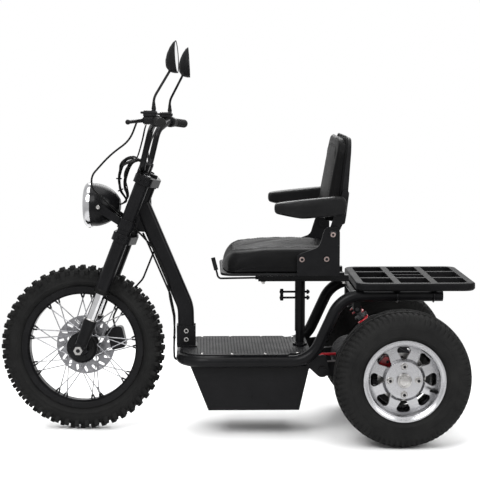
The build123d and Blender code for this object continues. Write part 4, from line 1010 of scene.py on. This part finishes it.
def fitFork(setup):
    bright = kit("steering", "zinc")
    dark = kit("steering", "darkSteel")
    rubber = kit("steering", "hose")
    plastic = kit("steering", "moulded")
    for side in (1, -1):
        out = (0, side, 0)
        foot = forkPlace(0, side * 90, 0)
        seal = [(18.8, 222), (24, 221), (27.8, 226), (27.8, 235), (26.2, 240), (26.2, 231), (18.8, 231)]
        lathe(rubber, seal, foot, steerAxis, 40, closed=True)
        lathe(bright, [(18.6, 117.5), (23, 117.5), (23, 120), (20.5, 122.5), (18.6, 122.5)], foot,
              steerAxis, 40, closed=True)
        capPlace = forkPlace(0, side * 90, setup["capUp"])
        lathe(dark, [(0, 0), (22.5, 0), (22.5, 2.5), (19, 5), (0, 5)], capPlace, steerAxis, 32)
        hexBolt(dark, capPlace + steerAxis * 0.005, steerAxis, 11, 6)
        for up in setup["clampUps"]:
            for forward in (-11, 11):
                capScrew(dark, forkPlace(forward, side * 123.0, up), out, 5.5, 6)
        for forward in (-13, 13):
            for y in (37, 55):
                capScrew(dark, forkPlace(setup["barForward"] + forward, side * y, setup["barUp"]),
                         steerAxis, 4.6, 5)
        for y in (80, 100):
            capScrew(dark, forkPlace(-24.4, side * y, 2), -forkForward, 4.6, 5)
        lathe(dark, [(10.4, 110.8), (21, 110.8), (21, 112.6), (20, 113.4), (10.4, 113.4)], axlePoint, out,
              32, closed=True)
        lathe(dark, [(0, 0), (7.5, 0), (7.5, 0.9), (6.4, 1.6), (0, 1.2)],
              axlePoint + mm(0, side * setup["axleEnd"], 0), out, 24)
        capScrew(bright, mm(487, side * 90.6, 828), out, 7.5, 5)
        hexBolt(dark, sided(stalkFoot, side) - mm(0, 0, 0.4), (0, 0, 1), 8.5, 6)
        boot = [(0, 5), (8, 5), (8.4, 9), (6.8, 13), (7.2, 15), (6.0, 19), (6.4, 21), (5.4, 26), (4.9, 31),
                (0, 31)]
        lathe(rubber, boot, sided(stalkFoot, side), (0, 0, 1), 24)
        capScrew(bright, sided(leverBlock, side) + mm(11, 5 * side, 12.8), (0, 0, 1), 5.6, 5)
        hexBolt(bright, sided(leverBlock, side) + mm(11, 5 * side, -12.8), (0, 0, -1), 5.5, 4)
        for dx, dy in ((15, -13), (15, 13), (0, -14)):
            panScrew(bright, sided(switchBlock, side) + mm(dx, dy * side, 10.9), (0, 0, 1), 3.2, 2.4)
        socket = sided((leverBlock[0] + 21.3, leverBlock[1] - 8, leverBlock[2]), side)
        lathe(dark, [(0, -0.3), (7, -0.3), (7, 4), (5.4, 6), (5.4, 8), (4.8, 8.8), (5.4, 9.6), (4.8, 10.6),
                     (5.4, 11.6), (4.7, 13), (5.1, 14.4), (4.2, 17), (0, 17)], socket, (1, 0, 0), 20)
        block(plastic, sided(switchBlock, side) + mm(-23.4, 4 * side, 1), (5, 13, 8), 1.4)
        lathe(plastic, [(0, -22), (19.5, -22), (21, -19), (21, -8), (19.6, -5), (0, -5)],
              sided((254.2, 246.2, 1139.7), side), (-0.2409, 0.9695 * side, -0.0411), 36)
    # Caliper bolts, piston cover and bleed nipple
    caliper = axlePoint + mm(-119, -78, 28)
    along = Vector((0.229, 0.0, 0.9734))
    for shift in (-0.028, 0.028):
        capScrew(bright, caliper + along * shift, (0, -1, 0), 6, 6)
    lathe(dark, [(0, 0), (16, 0), (16, 2), (13, 3.4), (5, 3.4), (4, 2.4), (0, 2.4)], caliper, (0, -1, 0),
          32)
    lathe(bright, [(0, -1), (4.4, -1), (4.4, 4), (2.4, 5), (2.4, 11), (3, 11.6), (3, 14), (0, 14)],
          caliper + along * 0.041 + mm(0, 14, 0), along, 14)


fitFork(forkHardware)

# Wiring between the handlebar, the controls and the lamp
wiring = {
    "route": [(331, 0, 987.6), (376, 0, 1005), (414, 0, 978), (423, 0, 930), (417, 0, 888), (396, 0, 850),
              (420, 0, 834)],
    "inner": [(336, 24, 1000), (372, 32, 988), (396, 24, 942), (394, 14, 900), (390, 4, 866),
              (404, 0, 842), (420, 0, 834)],
    "lead": [(285, 226, 1146), (302, 178, 1118), (318, 134, 1072), (338, 126, 1012), (368, 66, 996),
             (404, 14, 982), (420, 4, 940)],
    "strands": 8, "thick": (1.5, 2.9), "loose": (0.15, 1.0, 1.0, 0.8, 0.5, 0.3, 0.0),
    "spread": (8.0, 13.0, 8.0), "ties": (0.52, 0.68), "steps": 9,
}


def smoothRun(points, steps):
    places = [Vector(p) for p in points]
    places = [places[0] * 2.0 - places[1]] + places + [places[-1] * 2.0 - places[-2]]
    run = []
    for a, b, c, d in zip(places, places[1:], places[2:], places[3:]):
        for k in range(steps):
            t = k / steps
            run.append((b * 2.0 + (c - a) * t + (a * 2.0 - b * 5.0 + c * 4.0 - d) * t ** 2
                        + (b * 3.0 - a - c * 3.0 + d) * t ** 3) / 2.0)
    return run + [places[-2]]


def makeWiring(setup):
    random.seed(17)
    mesh = bmesh.new()
    for k in range(setup["strands"] * 2):
        points = []
        for place, loose in zip(setup["inner" if k % 2 else "route"], setup["loose"]):
            shift = [random.uniform(-1.0, 1.0) * reach * loose for reach in setup["spread"]]
            points.append(mm(*[a + b for a, b in zip(place, shift)]))
        tube(mesh, smoothRun(points, setup["steps"]), random.uniform(*setup["thick"]), 8)
    for side in (1, -1):
        for shift in (0.0, 5.0):
            points = [mm(x + shift * 0.6, y * side, z - shift) for x, y, z in setup["lead"]]
            tube(mesh, smoothRun(points, setup["steps"]), 2.4 - shift * 0.12, 8)
    middle = smoothRun([mm(*place) for place in setup["route"]], setup["steps"])
    for share in setup["ties"]:
        spot = int(share * (len(middle) - 2))
        run = middle[spot + 1] - middle[spot]
        lathe(mesh, [(9.4, -2.2), (10.8, -2.2), (10.8, 2.2), (9.4, 2.2)], middle[spot], run, 20,
              closed=True)
    piece = settle("wiringStrands", mesh, "hose", "steering", 60.0)
    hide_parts("wiring_loom")


makeWiring(wiring)
print("wiring laid")

# Front wheel: nipples, valve, disc bolts and cover screws
frontHardware = {"spokes": 9, "sweep": 52.0, "near": 53.0, "far": 201.0, "rim": 198.4}


def fitFrontWheel(setup):
    dark = kit("front_wheel", "darkSteel")
    bright = kit("front_wheel", "zinc")
    for side in (1, -1):
        for lean, inset in ((1, 3.0), (-1, -3.0)):
            for k in range(setup["spokes"]):
                share = k + (0.25 if side < 0 else 0.0) + (0.5 if lean < 0 else 0.0)
                turn = 2.0 * math.pi / setup["spokes"] * share
                reach = turn + math.radians(setup["sweep"]) * lean
                near, far = setup["near"], setup["far"]
                start = mm(near * math.cos(turn), side * (30.0 + inset * 0.5), near * math.sin(turn))
                end = mm(far * math.cos(reach), side * (7.0 + inset), far * math.sin(reach))
                run = (end - start).normalized()
                foot = axlePoint + end - run * ((far - setup["rim"]) / 1000.0)
                lathe(dark, [(0, -0.5), (4.2, -0.5), (4.2, 1.5), (3.3, 3), (3.3, 12), (2.6, 14), (0, 14)],
                      foot, -run, 8)
    out = Vector((math.cos(-1.9), 0.0, math.sin(-1.9)))
    lathe(kit("front_wheel", "hose"), [(0, -1), (7, -1), (7, 3), (3.4, 5), (3.2, 26), (4.2, 27), (4.2, 36),
                                       (3.4, 37), (0, 37)],
          axlePoint + out * 0.198, -out, 16)
    for k in range(5):
        turn = 2.0 * math.pi * (k + 0.5) / 5
        capScrew(bright, axlePoint + mm(36 * math.cos(turn), -58, 36 * math.sin(turn)), (0, -1, 0), 5.6, 5)
    for k in range(6):
        turn = 2.0 * math.pi * k / 6
        panScrew(dark, axlePoint + mm(40 * math.cos(turn), 45, 40 * math.sin(turn)), (0, 1, 0), 3.6, 2.6)
    ring = [(49, 42.6), (53.5, 36.4), (56.6, 34.6), (57.4, 32), (57.4, 28), (55.6, 28), (50, 40)]
    lathe(kit("front_wheel", "wheelBlack"), ring, axlePoint, (0, 1, 0), 72, closed=True)


fitFrontWheel(frontHardware)

# Rear wheels: hub cap, stud tips and valve
for body, side in (("rear_wheel_left", 1), ("rear_wheel_right", -1)):
    hub = Vector(wheelCentre(body + "_spin"))
    out = Vector((0, side, 0))
    capRing = [(0, 51), (25, 51), (26, 53), (26, 60), (24.4, 62.6), (22, 63.2), (21, 62.4), (19.6, 62.4),
               (18, 65), (10, 66.6), (0, 67)]
    lathe(kit(body, "zinc"), capRing, hub, out, 48)
    for k in range(4):
        turn = math.pi / 2.0 * k
        stud = hub + mm(50 * math.cos(turn), 0, 50 * math.sin(turn))
        lathe(kit(body, "zinc"), [(0, 49.8), (12.4, 49.8), (12.4, 51.2), (11, 52.4), (0, 52.4)], stud, out,
              24)
        lathe(kit(body, "darkSteel"), [(0, 62), (5.4, 62), (5.4, 64.6), (4.6, 65.4), (0, 65.4)], stud, out,
              16)
    radial = Vector((math.cos(3.5), 0.0, math.sin(3.5)))
    stem = (-radial * 0.8 + out * 0.6).normalized()
    lathe(kit(body, "hose"), [(0, -3), (7.5, -3), (7.5, 2), (5.4, 5), (4.4, 20), (4.8, 21), (4.8, 31),
                              (4, 32), (0, 32)],
          hub + radial * 0.1225 + out * 0.046, stem, 16)
print("wheel and fork hardware fitted")

# Weld beads, bolts and clips on the frame
random.seed(41)
deckDots = {"pitch": 13.0, "radius": 2.6, "high": 0.9, "backX": -262.0, "frontX": 170.0, "half": 186.0}


def weld(mesh, place, axis, radius, bead=2.6):
    zDir = Vector(axis).normalized()
    xDir = zDir.orthogonal().normalized()
    yDir = zDir.cross(xDir)
    points = []
    for k in range(56):
        turn = 2.0 * math.pi * k / 56
        wave = radius + 0.5 * math.sin(turn * 28.0) + random.uniform(-0.25, 0.25)
        points.append(place + (xDir * math.cos(turn) + yDir * math.sin(turn)) * (wave / 1000.0))
    tube(mesh, points, bead, 8, closed=True)


def fitFrame():
    paint = kit("frame", "frameBlack")
    bright = kit("frame", "zinc")
    dark = kit("frame", "darkSteel")
    rubber = kit("frame", "hose")
    for x, z in ((-250, 283), (-60, 283), (-443, 517.7), (-690, 521.7)):
        for side in (1, -1):
            weld(paint, mm(x, side * 187.5, z), (0, 1, 0), 15.4)
    weld(paint, mm(-247, 0, 317.2), (0, 0, 1), 16.6)
    weld(paint, mm(-247, 0, 559.2), (0, 0, 1), 19.8)
    for side in (1, -1):
        out = (0, side, 0)
        for z in (336, 368):
            capScrew(bright, mm(176, side * 30.2, z), out, 9.4, 8)
        for x, z in ((-239, 656), (-327, 657)):
            capScrew(kit("frame", "copper"), mm(x, side * 232.2, z), out, 9.6, 6.2)
        lathe(dark, [(0, 0), (14, 0), (14, 1.8), (12.4, 2.4), (12.4, 6.6), (11, 7.4), (0, 7.4)],
              mm(-349, side * 232.2, 745), out, 32)
        ring = [(4.6, 7.2), (9.2, 7.2), (9.2, 9.2), (8.2, 10.2), (4.6, 10.2)]
        lathe(kit("frame", "copper"), ring, mm(-349, side * 232.2, 745), out, 24, closed=True)
        for x, y in ((-228, 168), (-110, 190), (10, 190), (118, 184)):
            panScrew(bright, mm(x, side * y, 308.2), (0, 0, 1), 6, 3.2)
        hexBolt(bright, mm(-104, side * 146, 566.2), (0, 0, -1), 6, 7, 9)
        hexBolt(bright, mm(-398, side * 146, 566.2), (0, 0, -1), 6, 7, 9)
        for x in (-714, -582):
            turns = [2 * math.pi * k / 32 for k in range(32)]
            ring = [mm(x, side * 205 + 23.4 * math.cos(t), 521.7 + 23.4 * math.sin(t)) for t in turns]
            tube(dark, ring, 2.6, 8, closed=True)
        for k in range(6):
            turn = 2.0 * math.pi * (k + 0.5) / 6
            motorEnd = mm(-438.8 + 52 * math.cos(turn), side * 97.9, 262 + 52 * math.sin(turn))
            capScrew(dark, motorEnd, out, 4.6, 4)
        for k in range(10):
            turn = 2.0 * math.pi * (k + 0.25) / 10
            hexBolt(bright, mm(-590.8 + 70 * math.cos(turn), side * 47.9, 244 + 70 * math.sin(turn)), out,
                    5, 4)
        for k in range(6):
            turn = 2.0 * math.pi * k / 6
            hexBolt(bright, mm(-590.8 + 38 * math.cos(turn), side * 221.2, 244 + 38 * math.sin(turn)),
                    (0, -side, 0), 5, 4)
        for dx in (-14, 14):
            spot = mm(-590.8 + 76 * 0.8 - dx * 0.6, side * 315.8, 244 + 76 * 0.6 + dx * 0.8)
            capScrew(dark, spot, out, 5, 4)
    for k in range(11):
        fin = [(66, -2.4), (70.6, -1.8), (70.6, 1.8), (66, 2.4)]
        lathe(kit("frame", "casting"), fin, mm(-438.8, -70 + 14 * k, 262), (0, 1, 0), 64, closed=True)
    for z in (486, 508):
        lathe(kit("frame", "moulded"), [(0, -6), (10.5, -6), (11.5, -4), (11.5, 4), (10, 6), (4, 6.6),
                                        (0, 6.6)], mm(-179, 0, z), (1, 0, 0), 12)
        hexBolt(dark, mm(-271.8, 0, z), (-1, 0, 0), 8.4, 7)
    for place, run in (((269, 29.2, 619), (-49, 0, -106)), ((240, 26.5, 526), (-9, -5, -77)),
                       ((220.5, 12, 340), (0, 0, -1))):
        lathe(rubber, [(3.4, -3), (5.2, -3), (5.2, 3), (3.4, 3)], mm(*place), run, 20, closed=True)
        block(rubber, mm(place[0], place[1] + 5.4, place[2]), (6, 4, 6), 0.8)
    gland = [(0, 0), (9, 0), (9, 6), (7, 8), (7, 13), (5.6, 15), (0, 15)]
    lathe(rubber, gland, mm(-270.8, 90, 240.8), (-0.82, 0, 0.57), 20)


fitFrame()


def studDeck(setup):
    mesh = bmesh.new()
    radius, high = setup["radius"], setup["high"]
    row = 0
    x = setup["backX"]
    while x <= setup["frontX"]:
        y = -setup["half"] + (row % 2) * setup["pitch"] / 2.0
        while y <= setup["half"]:
            nearPost = abs(x + 247) < 36 and abs(y) < 58
            nearNeck = x > 124 and abs(y) < 56
            offPlate = x < -188 and abs(y) > 168 or x > 108 and math.hypot(x - 98,
                                                                           max(0.0, abs(y) - 114)) > 82
            if not (nearPost or nearNeck or offPlate):
                lathe(mesh, [(radius, 0), (radius * 0.82, high * 0.7), (0, high)], mm(x, y, 308.25),
                      (0, 0, 1), 8)
            y += setup["pitch"]
        row += 1
        x += setup["pitch"] * 0.87
    settle("deckStuds", mesh, "deckBlack", "frame", 70.0)


studDeck(deckDots)

rackRibs = {"middle": -647.8, "low": 544.0, "top": 557.4,
            "rows": ((88.0, 384.0, 20.0), (-88.0, 384.0, 20.0), (0.0, 124.0, 9.0))}


def deepenRack(setup):
    high = setup["top"] - setup["low"]
    for y, long, wide in setup["rows"]:
        block(kit("frame", "rackBlack"), mm(setup["middle"], y, setup["low"] + high / 2.0),
              (long, wide, high), 1.2)


deepenRack(rackRibs)

# Seat pan lip and the backrest's piped edge
panLip = {"z": 600.5, "radius": 5.0, "halfX": 0.206, "halfY": 0.2215, "corner": 0.04}


def pipeEdges(setup):
    loop = roundedLoop(setup["halfX"], setup["halfY"], setup["corner"], 0.012)
    lip = [Vector((seatMid.x + a, b, setup["z"] / 1000.0)) for a, b in loop]
    tube(kit("frame", "moulded"), lip, setup["radius"], 10, closed=True)
    loop = roundedLoop(0.157, 0.212, 0.062, 0.008)
    edge = []
    for a, b in loop:
        u = -0.010 + 0.008 * (a + 0.157) / 0.314
        edge.append(backHinge + backUp * (backMiddle + a) + backForward * u + Vector((0.0, b, 0.0)))
    tube(kit("backrest", "vinyl"), edge, 3.6, 10, closed=True)
    for a in (-0.115, 0.115):
        for b in (-0.165, 0.165):
            u = -0.042 + 0.024 * (a + 0.157) / 0.314
            spot = backHinge + backUp * (backMiddle + a) + backForward * (u + 0.0004) + Vector((0.0, b,
                                                                                                0.0))
            panScrew(kit("backrest", "darkSteel"), spot, -backForward, 5.5, 3.0)


pipeEdges(panLip)

# Springs: round wire in place of the plain coil
springTable = {"low": (-556.0, 282.0), "top": (-443.0, 468.0), "y": 160.0, "inset": 38.0, "radius": 19.0,
               "wire": 3.6, "turns": 7.5}


def makeSprings(setup):
    mesh = bmesh.new()
    for side in (1, -1):
        low = mm(setup["low"][0], setup["y"] * side, setup["low"][1])
        top = mm(setup["top"][0], setup["y"] * side, setup["top"][1])
        run = (top - low).normalized()
        aside = Vector((0.0, 1.0, 0.0))
        over = run.cross(aside)
        length = (top - low).length - 2.0 * setup["inset"] / 1000.0
        points = []
        count = int(setup["turns"] * 30)
        for k in range(count + 1):
            share = k / count
            turn = 2.0 * math.pi * setup["turns"] * share
            rise = share - 0.035 * math.sin(2.0 * math.pi * share)
            points.append(low + run * (setup["inset"] / 1000.0 + length * rise)
                          + (aside * math.cos(turn) + over * math.sin(turn)) * (setup["radius"] / 1000.0))
        tube(mesh, points, setup["wire"], 10)
    piece = settle("coilSprings", mesh, "springRed", "frame", 60.0)
    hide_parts("springs")


makeSprings(springTable)

for (body, finish), mesh in list(kits.items()):
    settle(f"{finish}Fittings_{body}", mesh, finish, body)
print("hardware joined into", len(kits), "pieces")

# Studio: pale floor, white surround for the camera, soft lamps
studio = {"floorSize": 60.0, "floorTone": 0.9, "surround": 0.6, "clearFrom": 1.15, "clearTo": 2.3}
lampTable = [
    # name, place, aim, width, power
    ("keyLamp", (1.6, 3.4, 3.6), (0.1, 0.0, 0.6), 2.6, 190.0),
    ("fillLamp", (-2.8, 3.0, 2.2), (-0.2, 0.0, 0.5), 2.4, 80.0),
    ("backLamp", (-0.4, -3.2, 3.4), (0.0, 0.0, 0.6), 3.0, 150.0),
    ("topLamp", (0.0, 0.2, 4.4), (0.0, 0.0, 0.0), 3.4, 120.0),
]


def makeStudio(setup, lamps):
    bpy.ops.mesh.primitive_plane_add(size=setup["floorSize"])
    floor = bpy.context.object
    floor.name = "studioFloor"
    material, tree, shader = startFinish("paleFloor", Specular_IOR_Level=0.2)
    skin = placeGroup(tree, grainGroup, Grain_Scale=40.0, Blotch_Scale=0.8)
    tone = setup["floorTone"]
    pale = (tone, tone, tone)
    join(tree, tint(tree, skin["Blotch"], tuple(c - 0.01 for c in pale), pale), shader.inputs["Base Color"])
    join(tree, spread(tree, skin["Grain"], 0.5, 0.6), shader.inputs["Roughness"])
    # far from the object the floor shows as the white surround; near it the floor keeps the shadow
    away = vectorNode(tree, "LENGTH", tree.nodes.new("ShaderNodeTexCoord").outputs["Object"]).outputs["Value"]
    clear = addNode(tree, "MapRange", From_Min=setup["clearFrom"], From_Max=setup["clearTo"])
    clear.interpolation_type = "SMOOTHSTEP"
    join(tree, away, clear.inputs["Value"])
    path = tree.nodes.new("ShaderNodeLightPath").outputs
    seen = mathNode(tree, "MAXIMUM", path["Is Camera Ray"], path["Is Glossy Ray"])
    seen = mathNode(tree, "MAXIMUM", seen, path["Is Transmission Ray"])
    glow = addNode(tree, "Emission", Color=(1.0, 1.0, 1.0, 1.0), Strength=1.0)
    blend = tree.nodes.new("ShaderNodeMixShader")
    join(tree, mathNode(tree, "MULTIPLY", seen, clear.outputs["Result"]), blend.inputs["Fac"])
    join(tree, shader.outputs["BSDF"], blend.inputs[1])
    join(tree, glow.outputs["Emission"], blend.inputs[2])
    join(tree, blend.outputs["Shader"], tree.nodes["Material Output"].inputs["Surface"])
    floor.data.materials.append(material)
    world = bpy.data.worlds.new("studioWorld")
    scene.world = world
    world.use_nodes = True
    tree = world.node_tree
    back = tree.nodes["Background"]
    path = tree.nodes.new("ShaderNodeLightPath").outputs
    seen = mathNode(tree, "MAXIMUM", path["Is Camera Ray"], path["Is Glossy Ray"])
    seen = mathNode(tree, "MAXIMUM", seen, path["Is Transmission Ray"])
    join(tree, tint(tree, seen, (setup["surround"],) * 3, (1.0, 1.0, 1.0)), back.inputs["Color"])
    for name, place, aim, width, power in lamps:
        data = bpy.data.lights.new(name, "AREA")
        data.shape = "DISK"
        data.size = width
        data.energy = power
        lamp = bpy.data.objects.new(name, data)
        lamp.location = place
        lamp.rotation_euler = (Vector(aim) - Vector(place)).to_track_quat("-Z", "Y").to_euler()
        scene.collection.objects.link(lamp)
    scene.view_settings.view_transform = "Standard"


makeStudio(studio, lampTable)
print("studio lit")
